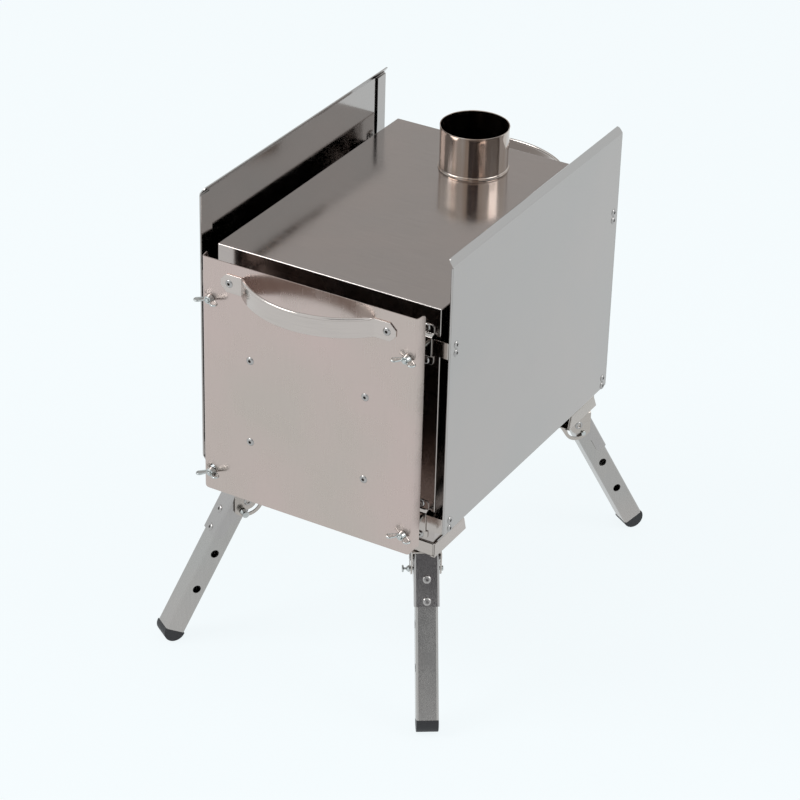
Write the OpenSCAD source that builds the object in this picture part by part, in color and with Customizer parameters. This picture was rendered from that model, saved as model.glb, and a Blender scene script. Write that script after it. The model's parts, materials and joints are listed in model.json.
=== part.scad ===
// Tent wood stove: a welded sheet steel firebox on four folding legs, with a
// removable rear heat screen, two side heat screens and a door in the front.
// The origin is on the floor under the centre of the firebox. The rear is at
// -Y, the door at +Y, and left and right are as seen looking along +Y.

/* [Firebox] */
// Width of the firebox
body_w = 280; // [250:1:320]
// Length of the firebox from rear wall to door wall
body_l = 388; // [340:1:460]
// Height of the firebox
body_h = 290.5; // [275:0.5:345]
// Sheet thickness of the firebox
wall_t = 1.5; // [1:0.1:2.5]

/* [Flue] */
// Outer diameter of the flue collar
flue_d = 80; // [60:1:110]
// Sheet thickness of the flue collar
flue_t = 1; // [0.8:0.1:2]
// Height of the flue collar above the top plate
flue_h = 52.5; // [30:0.5:80]
// Distance from the door wall's face to the flue's axis
flue_inset = 67.6; // [60:0.1:150]
// Width of the weld ring around the foot of the flue collar
flue_ring_w = 4; // [2.5:0.5:8]

/* [Inside] */
// Height of the grate above the bottom plate
grate_rise = 24; // [15:1:40]
// Thickness of the grate
grate_t = 3; // [2:0.5:5]
// Width of the air slots in the grate
grate_slot_w = 8; // [5:0.5:12]
// Distance between the middles of neighbouring grate slots
grate_pitch = 24; // [18:1:36]
// Thickness of the baffle plate
baffle_t = 3; // [2:0.5:5]
// Distance from the top plate down to the baffle plate
baffle_drop = 48; // [40:1:50]
// Gap behind the baffle plate for the smoke
baffle_gap = 95; // [60:1:140]

/* [Cross-members] */
// Width of a cross-member along the stove
member_w = 69; // [62:1:90]
// Sheet thickness of the cross-members
member_t = 1.5; // [1:0.1:2.5]
// Height of the end walls that hold the firebox's sides
member_end_h = 18; // [12:0.5:30]
// Thickness of the folded end walls
member_end_t = 3; // [2:0.1:5]
// Height of their channel section, which the firebox stands on
member_h = 17.5; // [14:0.5:24]

/* [Legs] */
// Tilt of the standing legs from the vertical
leg_tilt = 28.35; // [20:0.05:32]
// Direction of the fold in plan, from the X axis
leg_plan = 56.4; // [50:0.1:60]
// Outer width of the square leg tube
tube_w = 25; // [22:0.5:26]
// Wall thickness of the leg tube
tube_t = 1.5; // [1:0.1:2.5]
// Corner radius of the leg tube
tube_r = 3; // [2:0.1:4]
// Distance from the pivot to the centre of the rounded sole
leg_len = 181.7; // [150:0.1:183]
// Radius of the rounded rubber sole
sole_r = 13; // [12.5:0.1:13.5]
// Diameter of the holes through the leg tube
peg_d = 10; // [6:0.5:12]
// Distance from the pivot to the upper hole
peg_1 = 75.2; // [70:0.1:90]
// Distance from the pivot to the lower hole
peg_2 = 123.4; // [110:0.1:140]

/* [Leg brackets] */
// Distance from the fold plane to the outer face of each ear
ear_half = 17; // [16.8:0.1:20]
// Sheet thickness of the leg brackets
ear_t = 1.5; // [1:0.1:1.6]
// Radius of the ears about the pivot
ear_r = 20; // [19:0.5:24]
// Distance from the cross-member's underside down to the pivot
pivot_drop = 15.5; // [15:0.1:20]
// Distance from the middle of the tube to the pivot
pivot_off = 4.5; // [3:0.1:6]
// Diameter of the tubular pivot rivet
pivot_d = 7; // [6:0.5:9]
// Bore of the tubular pivot rivet
pivot_bore = 4.5; // [3:0.5:5]
// Distance from the pivot to the lock pin
lock_reach = 13.5; // [13:0.1:14.5]
// Diameter of the lock pin
lock_d = 4.4; // [3:0.1:4.8]
// How far a leg folds
fold_travel = 118; // [90:1:118]

/* [Rear heat screen] */
// Distance from the rear wall's face to the outer face of the screen
cover_gap = 39.8; // [32:0.1:60]
// Distance from the firebox's side in to the rear heat screen's bends
cover_inset = 6.3; // [3:0.1:10]
// Height of the rear heat screen
cover_h = 291.3; // [280:0.1:310]
// Sheet thickness of the rear heat screen
cover_t = 1.2; // [0.8:0.1:2]
// Height of its lower edge above the firebox's floor
cover_rise = 3.4; // [1:0.1:8]
// Bend radius of the flanges along its upright edges
cover_bend = 3; // [1.5:0.1:3.2]
// Depth of these flanges beyond the bend
cover_flange = 11.5; // [8:0.1:16]
// How far these flanges lean outward
flange_lean = 10; // [0:0.5:14]
// Radius of the flanges' corners
flange_corner = 4.5; // [3:0.5:5]
// Radius of its two lower corners
cover_corner = 6; // [3:0.5:8]
// Distance from the firebox's side in to the studs
stud_inset = 17; // [16:0.5:19]
// Height of the lower studs above the firebox's floor
stud_low = 27.2; // [25:0.1:34]
// Distance between the lower and upper studs
stud_pitch = 218.5; // [200:0.5:225]
// Diameter of the studs
stud_d = 5; // [4:0.5:6]
// Diameter of the holes for the studs
stud_hole_d = 8.5; // [8:0.5:10]
// How far the lower left hole runs up as a slot
stud_slot = 4.5; // [1:0.5:7]

/* [Clips] */
// Width of the hat clips
clip_w = 19; // [12:0.5:20]
// Length of the hat clips
clip_l = 48; // [44:1:56]
// Height of a clip's bridge above the wall
clip_rise = 6.5; // [5.5:0.1:7.2]
// Sheet thickness of clips and straps
clip_t = 1.2; // [0.8:0.1:1.6]
// Width of the straps
strap_w = 19; // [18.5:0.1:19.5]

/* [Reflector] */
// Width of the inner reflector
reflector_w = 186; // [165:1:200]
// Height of the inner reflector
reflector_h = 144; // [130:1:170]
// Thickness of the inner reflector
reflector_t = 1; // [0.6:0.1:1.5]
// Length of the spacers that carry it
spacer_l = 12; // [8:0.5:18]
// Sideways distance between its rivets
reflector_pitch_x = 145; // [130:1:155]
// Height distance between its rivets
reflector_pitch_z = 102.3; // [90:0.1:115]
// Height of its middle above the firebox's floor
reflector_rise = 132; // [114:1:149]

/* [Handles] */
// Height of the handle strip
handle_h = 22; // [18:0.5:26]
// Thickness of the handle strip
handle_t = 1.5; // [1:0.1:2.5]
// Width of the handle's bow between its feet
handle_chord = 168; // [140:1:180]
// How far the bow stands out
handle_rise = 37; // [30:0.5:37]
// Length of the flat feet of the handle
handle_foot = 26; // [22:0.5:30]
// Radius of the rolled bead along the top edge
handle_bead = 2; // [1.5:0.1:3]
// Distance from the top plate down to the middle of the handle
handle_drop = 19.5; // [16:0.1:24]

/* [Side heat screens] */
// Gap between the firebox's side and the screen
screen_gap = 15.5; // [12:0.1:22]
// Sheet thickness of the side screens
screen_t = 1.2; // [0.8:0.1:1.6]
// Height of the flat part of the side screens
screen_h = 328.7; // [310:0.1:350]
// Height of the screens' lower bend above the firebox's floor
screen_rise = 20.5; // [20:0.1:20.6]
// How far the screens reach past the rear wall
screen_rear = 9.7; // [8:0.1:14]
// How far the screens stop short of the door wall
screen_front = 5.1; // [3:0.1:12]
// How far the top lip leans in
lip_in = 5.5; // [3:0.1:9]
// Height of the top lip
lip_up = 7.7; // [5:0.1:12]
// How far the bottom lip leans in
foot_in = 9; // [6:0.1:9.2]
// Height of the bottom lip
foot_down = 12.5; // [12:0.1:16]
// Width of the hems along the upright edges
hem_w = 20; // [19:0.1:24]
// Gap between a front tongue's tip and the firebox's side
tongue_gap = 3; // [2.2:0.1:5]

/* [Rivets] */
// Diameter of the pop rivets
rivet_d = 4.8; // [3.2:0.1:5]
// Diameter of their heads
rivet_head_d = 9.5; // [7:0.1:9.6]
// Height of their heads
rivet_head_h = 1.4; // [1:0.1:2]
// Distance between the two rivets of a strap
strap_rivets = 10; // [9.8:0.1:10.4]

/* [Door] */
// Distance from the firebox's side in to the door's edge
door_margin = 52; // [48:1:60]
// Height of the door
door_h = 150; // [130:1:180]
// Thickness of the door
door_t = 2; // [1.5:0.1:3]
// Overlap of the door on its frame
door_lap = 14; // [10:0.5:20]
// Height of the door's lower edge above the firebox's floor
door_rise = 24; // [18:1:44]
// Gap between the closed door and the wall
door_gap = 1; // [0.6:0.1:2]
// Radius of the hinge knuckles
knuckle_r = 4; // [3.5:0.1:5]
// Diameter of the hinge pins
hinge_d = 4; // [3:0.1:5]
// Length of one hinge knuckle
knuckle_l = 12; // [8:0.5:16]
// Distance between the two hinges
hinge_pitch = 72; // [60:1:72]
// Distance from the door's edge in to the latch's pivot
latch_inset = 28; // [26:1:34]
// Length of the latch's tongue
latch_tongue = 44; // [40:1:48]
// Length of the latch's grip
latch_grip = 78; // [60:1:90]
// Length of the air slider
slider_l = 118; // [100:1:120]
// Height of the air slider
slider_h = 22; // [19:0.5:24]
// How far the air slider moves
slider_travel = 14; // [10:1:16]

/* [Clearances] */
// Gap between a turning pin and its hole
fit = 0.05; // [0.02:0.01:0.1]
// Gap between neighbouring pieces that come apart
loose = 0.3; // [0.2:0.05:0.5]

/* [Hidden] */
$fn = 48;

// Heights: the rounded sole touches the floor at z = 0
pivot_z = sole_r + leg_len * cos(leg_tilt) - pivot_off * sin(leg_tilt);
member_z = pivot_z + pivot_drop;
floor_z = member_z + member_h;
top_z = floor_z + body_h;

// Faces of the firebox
side_x = body_w / 2;
end_y = body_l / 2;
inner_x = side_x - wall_t;
wall_h = body_h - 2 * wall_t;
pivot_inset_x = 19.1;
pivot_inset_y = 17.1;
pivot_x = side_x - pivot_inset_x;
pivot_y = end_y - pivot_inset_y;
bracket_out = 16;
bracket_in = 33;
flue_y = end_y - flue_inset;
flue_bore = flue_d - 2 * flue_t;
flue_ring_d = flue_d + 2 * flue_ring_w;
cut = 1;

// Clips: the hat profile and where its rivets sit
clip_flange = 10;
clip_slope = 2.7;
clip_rivet_out = 0.7;
clip_rivet = clip_l / 2 - clip_flange / 2 + clip_rivet_out;
stud_z = [floor_z + stud_low, floor_z + stud_low + stud_pitch];
strap_y = clip_rise - clip_t - loose - clip_t;
socket_inset = 10.5;
socket_y = end_y - socket_inset;
socket_w = 14;

// Rear heat screen
stud_x = side_x - stud_inset;
cover_w = body_w - 2 * cover_inset;
cover_y = end_y + cover_gap;
cover_z = floor_z + cover_rise;
reflector_z = floor_z + reflector_rise;
reflector_rivets = [for (sx = [-1, 1], sz = [-1, 1])
    [sx * reflector_pitch_x / 2, reflector_z + sz * reflector_pitch_z / 2]];
stud_points = [for (sx = [-1, 1], z = stud_z) [sx * stud_x, z]];
handle_z = top_z - handle_drop;
handle_rivet_out = 1;
handle_rivet = handle_chord / 2 + handle_foot / 2 + handle_rivet_out;
handle_points = [for (sx = [-1, 1]) [sx * handle_rivet, handle_z]];
stud_out = 8;
stud_end = cover_gap + stud_out;

// Side screens
screen_x = side_x + screen_gap;
screen_z = floor_z + screen_rise;
screen_len = body_l + screen_rear - screen_front;
strap_short = 6;
strap_leg = hem_w - strap_short;
strap_past_clip = 0.5;
strap_rivet_in = 4;
strap_rivet_y = end_y - strap_rivet_in;
tongue_rivet_in = 5;
tongue_rivet_y = socket_y - tongue_rivet_in;
screen_rivet_lift = 1.3;
strap_cut = 3.3;

// Door
door_w = body_w - 2 * door_margin;
latch_x = door_w / 2 - latch_inset;
door_z = floor_z + door_rise;
door_mid = door_z + door_h / 2;
door_y = end_y + door_gap;
door_face = door_y + door_t;
hinge_x = -door_w / 2 - knuckle_r * 2;
hinge_out = 0.5;
hinge_y = end_y + knuckle_r + hinge_out;
hinge_z = [door_mid - hinge_pitch / 2, door_mid + hinge_pitch / 2];
leaf_t = 1.5;
leaf_l = 26;
latch_shaft_d = 6;
latch_shaft_in = 1;
latch_t = 2;
latch_w = 12;
latch_out = 20;
grip_d = 13;
slider_t = 1.5;
slider_lift = 1;
slider_z = door_z + door_lap + slider_h / 2 + slider_lift;
slider_holes = 3;
slider_pitch = 30;
slider_hole_d = 13;
slider_stud_x = 50;
slider_stud_r = 2;
slider_x = -slider_travel / 2;

// Legs
tube_top = 6;
sole_rim = 1.2;
tube_end = leg_len - sole_rim;
sleeve_t = 1.6;
sleeve_top = 4;
sleeve_l = 54.5;
sleeve_rivets = [24.4, 48.8];
boss_gap = 1;
boss_y = ear_half + boss_gap;
boss_h = 3.5;
boss_r = 4;
stem_d = 2.5;
stem_y = ear_half + 2 * loose;

// Colours
steel = [0.68, 0.66, 0.64];
dark_steel = [0.42, 0.41, 0.41];
zinc = [0.74, 0.75, 0.74];
rubber = [0.09, 0.09, 0.1];

// Places children on the rear wall's side: local Z points to -Y
module rearward(x, y, z) {
    translate([x, y, z]) rotate([90, 0, 0]) children();
}

// Places children on the door wall's side: local Z points to +Y
module frontward(x, y, z) {
    translate([x, y, z]) rotate([90, 0, 180]) children();
}

// Places children on a side wall: side is 1 for right and -1 for left
module sideward(side, y, z) {
    mirror([side < 0 ? 1 : 0, 0, 0]) translate([side_x, y, z])
        rotate([90, 0, 90]) children();
}

// Puts children at one corner: sx is 1 for right, sy is 1 for the door end
module corner(sx, sy) {
    mirror([sx < 0 ? 1 : 0, 0, 0]) mirror([0, sy < 0 ? 1 : 0, 0])
        translate([pivot_x, pivot_y, pivot_z]) rotate([0, 0, leg_plan]) children();
}

// The standing leg's own frame at the pivot: Z runs up the tube, X outward
module leg_frame(sx, sy) {
    corner(sx, sy) rotate([0, -leg_tilt, 0]) children();
}

// A cylinder along Y between two places on that axis
module rod_y(r, from, to) {
    translate([0, from, 0]) rotate([-90, 0, 0]) cylinder(r = r, h = to - from);
}

// A rectangle with rounded corners, centred
module rounded_square(w, h, r) {
    square([w - 2 * r, h], center = true);
    square([w, h - 2 * r], center = true);
    for (sx = [-1, 1], sy = [-1, 1])
        translate([sx * (w / 2 - r), sy * (h / 2 - r)]) circle(r);
}

// A hollow pop rivet: its head stands on z = 0 and its shank runs down
module rivet(grip) {
    tail_rim = 1;
    difference() {
        union() {
            cylinder(d = rivet_head_d, h = rivet_head_h);
            translate([0, 0, -grip - rivet_head_h])
                cylinder(d = rivet_d, h = grip + rivet_head_h);
            translate([0, 0, -grip - rivet_head_h])
                cylinder(r = rivet_d / 2 + tail_rim, h = rivet_head_h);
        }
        translate([0, 0, -grip - rivet_head_h - cut])
            cylinder(d = rivet_d / 2, h = grip + 2 * rivet_head_h + 2 * cut);
    }
}

// The hole that a rivet's shank fills, through everything near z = 0
module rivet_hole(depth) {
    translate([0, 0, -depth]) cylinder(d = rivet_d, h = 2 * depth);
}

// A hat clip on the plane z = 0, long along Y
module hat_clip(w) {
    half = clip_l / 2;
    foot = half - clip_flange;
    top = foot - clip_slope;
    rotate([90, 0, 90]) translate([0, 0, -w / 2]) linear_extrude(w) polygon([
        [-half, 0], [-half, clip_t], [-foot, clip_t], [-top, clip_rise],
        [top, clip_rise], [foot, clip_t], [half, clip_t], [half, 0],
        [foot - clip_t / 2, 0], [top - clip_t / 2, clip_rise - clip_t],
        [clip_t / 2 - top, clip_rise - clip_t], [clip_t / 2 - foot, 0]
    ]);
}

// The bowed strip handle on the plane z = 0, with its bead along +Y
module handle() {
    foot_corner = 5;
    foot_lap = 1;
    half = handle_chord / 2;
    bow_r = (half * half + handle_rise * handle_rise) / (2 * handle_rise);
    bow_a = asin(half / bow_r);
    difference() {
        union() {
            translate([0, 0, handle_rise - bow_r]) rotate([-90, -90 - bow_a, 0])
                rotate_extrude(angle = 2 * bow_a, $fn = 96) {
                    translate([bow_r - handle_t, -handle_h / 2])
                        square([handle_t, handle_h]);
                    translate([bow_r - handle_t / 2, handle_h / 2])
                        circle(handle_bead);
                }
            for (s = [-1, 1])
                translate([s * (half + handle_foot / 2 - foot_lap), 0, 0])
                    linear_extrude(handle_t)
                        rounded_square(handle_foot, handle_h, foot_corner);
        }
        translate([0, 0, -2 * handle_h])
            cube([2 * handle_chord, 2 * handle_h, 4 * handle_h], center = true);
        for (s = [-1, 1])
            translate([s * handle_rivet, 0, 0]) rivet_hole(handle_t + cut);
    }
}

// Firebox

module top_plate() {
    color(steel) difference() {
        translate([-side_x, -end_y, top_z - wall_t]) cube([body_w, body_l, wall_t]);
        translate([0, flue_y, top_z - wall_t - cut])
            cylinder(d = flue_ring_d, h = wall_t + 2 * cut, $fn = 96);
    }
}

module side_plate(side) {
    color(dark_steel) difference() {
        translate([side > 0 ? inner_x : -side_x, -end_y, floor_z + wall_t])
            cube([wall_t, body_l, wall_h]);
        for (z = stud_z, s = [-1, 1])
            sideward(side, socket_y, z + s * clip_rivet) rivet_hole(wall_t + cut);
    }
}

module side_plate_left() side_plate(-1);
module side_plate_right() side_plate(1);

module bottom_plate() {
    color(dark_steel) translate([-side_x, -end_y, floor_z])
        cube([body_w, body_l, wall_t]);
}

module end_wall(y) {
    translate([-inner_x, y, floor_z + wall_t]) cube([2 * inner_x, wall_t, wall_h]);
}

module rear_wall() {
    color(dark_steel) difference() {
        end_wall(-end_y);
        for (p = stud_points, s = [-1, 1])
            rearward(p[0], -end_y, p[1] + s * clip_rivet) rivet_hole(wall_t + cut);
    }
}

module front_wall() {
    open_w = door_w - 2 * door_lap;
    open_h = door_h - 2 * door_lap;
    color(dark_steel) difference() {
        end_wall(end_y - wall_t);
        translate([-open_w / 2, end_y - wall_t - cut, door_z + door_lap])
            cube([open_w, wall_t + 2 * cut, open_h]);
        for (p = handle_points)
            frontward(p[0], end_y, p[1]) rivet_hole(wall_t + cut);
    }
}

// A pipe of the flue's bore, from one height up
module flue_pipe(outer_d, z, h) {
    translate([0, flue_y, z]) difference() {
        cylinder(d = outer_d, h = h, $fn = 96);
        translate([0, 0, -cut]) cylinder(d = flue_bore, h = h + 2 * cut, $fn = 96);
    }
}

// The weld ring fills the top plate's hole, and the collar stands on it
module flue_ring() {
    color(steel) flue_pipe(flue_ring_d, top_z - wall_t, wall_t);
}

module flue_collar() {
    color(steel) flue_pipe(flue_d, top_z, flue_h);
}

// The baffle hangs on two side strips and leads the smoke round its rear edge
module baffle_plate() {
    strip = 8;
    baffle_z = top_z - wall_t - baffle_drop;
    color(dark_steel) {
        translate([-inner_x, baffle_gap - end_y, baffle_z])
            cube([2 * inner_x, body_l - baffle_gap - wall_t, baffle_t]);
        for (s = [0, 1]) mirror([s, 0, 0])
            translate([inner_x - wall_t, baffle_gap - end_y, baffle_z - strip])
                cube([wall_t, body_l - baffle_gap - wall_t, strip]);
    }
}

// The grate is a slotted plate on four turned down feet
module grate() {
    play = 4;
    end_rim = 30;
    side_rim = 26;
    bridge = 10;
    grate_w = 2 * inner_x - 2 * play;
    grate_l = body_l - 2 * wall_t - 2 * play;
    slots = floor((grate_l - 2 * end_rim) / grate_pitch);
    slot_l = grate_w / 2 - side_rim - bridge;
    base = floor_z + wall_t;
    color(dark_steel) {
        difference() {
            translate([-grate_w / 2, -grate_l / 2, base + grate_rise - grate_t])
                cube([grate_w, grate_l, grate_t]);
            for (i = [0 : slots - 1], s = [-1, 1])
                translate([s * (slot_l / 2 + bridge) - slot_l / 2,
                    (i - (slots - 1) / 2) * grate_pitch - grate_slot_w / 2,
                    base + grate_rise - grate_t - cut])
                    cube([slot_l, grate_slot_w, grate_t + 2 * cut]);
        }
        for (s = [0, 1]) mirror([s, 0, 0])
            translate([grate_w / 2 - grate_t, -grate_l / 2, base])
                cube([grate_t, grate_l, grate_rise - grate_t]);
    }
}

// Cross-members: channels under the firebox that carry the leg brackets

module cross_member(sy) {
    outer_y = end_y + clip_t;
    slant = 5;
    outer_slant = sy > 0 ? 8.5 : 0;
    color(steel) mirror([0, sy < 0 ? 1 : 0, 0]) {
        translate([-side_x, outer_y - member_w, member_z]) difference() {
            cube([body_w, member_w, member_h]);
            translate([-cut, -cut, member_t])
                cube([body_w + 2 * cut, member_w - clip_t + cut, member_h - 2 * member_t]);
        }
        for (s = [0, 1]) mirror([s, 0, 0]) translate([side_x, 0, member_z])
            rotate([90, 0, 90]) linear_extrude(member_end_t) polygon([
                [outer_y - member_w, 0], [outer_y, 0],
                [outer_y, member_t], [outer_y - outer_slant, member_end_h],
                [outer_y - member_w + slant, member_end_h], [outer_y - member_w, member_t]
            ]);
    }
}

module cross_member_rear() cross_member(-1);
module cross_member_front() cross_member(1);

// Rivets of the firebox: rear clips, side sockets and the front handle
module shell_rivets() {
    color(zinc) {
        for (p = stud_points, s = [-1, 1])
            rearward(p[0], -end_y - clip_t, p[1] + s * clip_rivet)
                rivet(wall_t + clip_t);
        for (side = [-1, 1], z = stud_z, s = [-1, 1])
            sideward(side, socket_y, z + s * clip_rivet) translate([0, 0, clip_t])
                rivet(wall_t + clip_t);
        for (p = handle_points)
            frontward(p[0], end_y + handle_t, p[1]) rivet(wall_t + handle_t);
    }
}

module cover_keepers() {
    color(steel) for (p = stud_points)
        rearward(p[0], -end_y, p[1]) difference() {
            hat_clip(clip_w);
            for (s = [-1, 1]) translate([0, s * clip_rivet, 0])
                rivet_hole(clip_rise);
        }
}

module cover_studs() {
    color(zinc) for (p = stud_points)
        rearward(p[0], -end_y, p[1]) translate([0, 0, clip_rise])
            cylinder(d = stud_d, h = stud_end - clip_rise);
}

module front_handle() {
    color(steel) frontward(0, end_y, handle_z) handle();
}

module screen_sockets() {
    color(steel) for (side = [-1, 1], z = stud_z)
        sideward(side, socket_y, z) difference() {
            hat_clip(socket_w);
            for (s = [-1, 1]) translate([0, s * clip_rivet, 0])
                rivet_hole(clip_rise);
            translate([0, 0, clip_rise])
                cube([clip_t + 2 * loose, strap_w + 2 * loose, 3 * clip_t],
                    center = true);
        }
}

// Leg brackets: a base plate and two ears with a curved slot for the lock pin

module ear_outline() {
    reach = sqrt(bracket_in * bracket_in + pivot_drop * pivot_drop);
    tangent = 180 - atan(pivot_drop / bracket_in) + acos(ear_r / reach);
    circle(ear_r);
    polygon([
        [0, 0], [bracket_out, -sqrt(ear_r * ear_r - bracket_out * bracket_out)],
        [bracket_out, pivot_drop], [-bracket_in, pivot_drop],
        [ear_r * cos(tangent), ear_r * sin(tangent)]
    ]);
}

module lock_slot() {
    half = lock_d / 2 + loose;
    start = leg_tilt - 90;
    end = start - fold_travel;
    middle = (start + end) / 2;
    far = 3 * ear_r;
    for (a = [start, end])
        translate([lock_reach * cos(a), lock_reach * sin(a)]) circle(half);
    difference() {
        intersection() {
            circle(lock_reach + half);
            polygon([
                [0, 0], [far * cos(start), far * sin(start)],
                [far * cos(middle), far * sin(middle)], [far * cos(end), far * sin(end)]
            ]);
        }
        circle(lock_reach - half);
    }
}

module leg_bracket(sx, sy) {
    corner(sx, sy) {
        translate([-bracket_in, -ear_half, pivot_drop - ear_t])
            cube([bracket_in + bracket_out, 2 * ear_half, ear_t]);
        for (s = [-1, 1])
            translate([0, s > 0 ? ear_half : ear_t - ear_half, 0]) rotate([90, 0, 0])
                linear_extrude(ear_t) difference() {
                    intersection() {
                        ear_outline();
                        translate([-2 * bracket_in, -2 * ear_r])
                            square([4 * bracket_in, 2 * ear_r + pivot_drop]);
                    }
                    circle(d = pivot_d);
                    lock_slot();
                }
    }
}

module leg_brackets() {
    color(steel) for (sx = [-1, 1], sy = [-1, 1]) leg_bracket(sx, sy);
}

module pivot_rivets() {
    head_t = 1.2;
    head_rim = 1.5;
    color(zinc) for (sx = [-1, 1], sy = [-1, 1]) corner(sx, sy) difference() {
        union() {
            rod_y(pivot_d / 2, -ear_half - head_t, ear_half + head_t);
            for (s = [-1, 1]) translate([0, s > 0 ? ear_half : -ear_half - head_t, 0])
                rod_y(pivot_d / 2 + head_rim, 0, head_t);
        }
        rod_y(pivot_bore / 2, -ear_half - head_t - cut, ear_half + head_t + cut);
    }
}

// Rear heat screen

// A flange's outline: X runs back from the bend, Y runs up
module flange_outline() {
    square([cover_flange - flange_corner, cover_h]);
    translate([0, flange_corner])
        square([cover_flange, cover_h - 2 * flange_corner]);
    for (y = [flange_corner, cover_h - flange_corner])
        translate([cover_flange - flange_corner, y]) circle(flange_corner);
}

// The right bend and its leaning flange
module cover_edge() {
    translate([cover_w / 2 - cover_bend, cover_bend - cover_y, cover_z]) {
        rotate([0, 0, -90]) rotate_extrude(angle = 90 - flange_lean)
            translate([cover_bend - cover_t, 0]) square([cover_t, cover_h]);
        rotate([0, 0, -flange_lean]) translate([cover_bend - cover_t, 0, 0])
            rotate([90, 0, 90]) linear_extrude(cover_t) flange_outline();
    }
}

// What rounds off the lower right corner, flange and all
module corner_waste() {
    reach = 2 * cover_flange;
    translate([cover_w / 2 - cover_corner, reach - cover_y, cover_z + cover_corner])
        rotate([90, 0, 0]) linear_extrude(2 * reach) difference() {
            translate([0, -2 * cover_corner]) square([reach, 2 * cover_corner]);
            circle(cover_corner);
        }
}

module cover_plate() {
    flat_w = cover_w - 2 * cover_bend;
    color(steel) difference() {
        union() {
            translate([-flat_w / 2, -cover_y, cover_z]) cube([flat_w, cover_t, cover_h]);
            for (s = [0, 1]) mirror([s, 0, 0]) cover_edge();
        }
        for (s = [0, 1]) mirror([s, 0, 0]) corner_waste();
        for (p = stud_points) rearward(p[0], -cover_y, p[1])
            translate([0, 0, -2 * cover_t]) cylinder(d = stud_hole_d, h = 4 * cover_t);
        rearward(stud_points[0][0], 2 * cover_t - cover_y, stud_points[0][1])
            linear_extrude(4 * cover_t) {
                translate([0, stud_slot]) circle(d = stud_hole_d);
                translate([-stud_hole_d / 2, 0]) square([stud_hole_d, stud_slot]);
            }
        for (p = concat(reflector_rivets, handle_points))
            rearward(p[0], -cover_y, p[1]) rivet_hole(2 * cover_t);
    }
}

module cover_reflector() {
    color(steel) difference() {
        translate([-reflector_w / 2, cover_t + spacer_l - cover_y,
            reflector_z - reflector_h / 2])
            cube([reflector_w, reflector_t, reflector_h]);
        for (p = reflector_rivets)
            rearward(p[0], cover_t + spacer_l - cover_y, p[1])
                rivet_hole(2 * reflector_t);
    }
}

module cover_spacers() {
    spacer_wall = 1.5;
    color(zinc) for (p = reflector_rivets)
        rearward(p[0], cover_t + spacer_l - cover_y, p[1]) difference() {
            cylinder(r = rivet_d / 2 + spacer_wall, h = spacer_l);
            translate([0, 0, -cut]) cylinder(d = rivet_d, h = spacer_l + 2 * cut);
        }
}

module cover_rivets() {
    color(zinc) {
        for (p = reflector_rivets)
            rearward(p[0], -cover_y, p[1]) rivet(cover_t + spacer_l + reflector_t);
        for (p = handle_points)
            rearward(p[0], -cover_y - handle_t, p[1]) rivet(cover_t + handle_t);
    }
}

module cover_handle() {
    color(steel) rearward(0, -cover_y, handle_z) handle();
}

// A wing nut that stands on z = 0, with its wings turned by an angle
module wing_nut(turn) {
    hub_h = 6.5;
    hub_r = 5.4;
    hub_top_r = 4;
    wing_t = 2.4;
    lobe_r = 4.6;
    lobe = [10.4, 9.6];
    lean = atan2(lobe[1], lobe[0]);
    side = [lobe_r * sin(lean), -lobe_r * cos(lean)];
    difference() {
        union() {
            cylinder(r1 = hub_r, r2 = hub_top_r, h = hub_h);
            for (s = [0, 180]) rotate([0, 0, turn + s]) rotate([90, 0, 0])
                translate([0, 0, -wing_t / 2]) linear_extrude(wing_t) {
                    translate(lobe) circle(lobe_r);
                    polygon([[0, 0], [hub_r, 0], lobe + side, lobe - side, [0, hub_h]]);
                }
        }
        translate([0, 0, -cut])
            cylinder(d = stud_d + 2 * fit, h = hub_h + 2 * lobe[1]);
    }
}

module nut_at(sx, level, turn) {
    color(zinc) rearward(sx * stud_x, -cover_y - loose, stud_z[level])
        wing_nut(turn);
}

module wing_nut_upper_left() nut_at(-1, 1, 0);
module wing_nut_upper_right() nut_at(1, 1, 0);
module wing_nut_lower_left() nut_at(-1, 0, 6);
module wing_nut_lower_right() nut_at(1, 0, 0);

// Side heat screens

module side_screen(side) {
    x = screen_x;
    t = screen_t;
    z1 = screen_z + screen_h;
    color(steel) mirror([side < 0 ? 1 : 0, 0, 0]) difference() {
        union() {
            translate([0, end_y - screen_front, 0]) rotate([90, 0, 0])
                linear_extrude(screen_len) polygon([
                    [x, screen_z], [x - foot_in, screen_z - foot_down + t / 2],
                    [x + t - foot_in, screen_z - foot_down], [x + t, screen_z - t / 2],
                    [x + t, z1], [x + t - lip_in, z1 + lip_up],
                    [x - lip_in, z1 + lip_up - t / 2], [x, z1 - t / 2]
                ]);
            for (y = [-end_y - screen_rear, end_y - screen_front - hem_w])
                translate([x - t, y, screen_z]) cube([t, hem_w, screen_h - 2 * t]);
        }
        for (z = stud_z, s = [-1, 1], y = [-strap_rivet_y, tongue_rivet_y])
            translate([x, y, z + screen_rivet_lift + s * strap_rivets / 2])
                rotate([0, 90, 0]) rivet_hole(3 * t);
    }
}

module side_screen_left() side_screen(-1);
module side_screen_right() side_screen(1);

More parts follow.
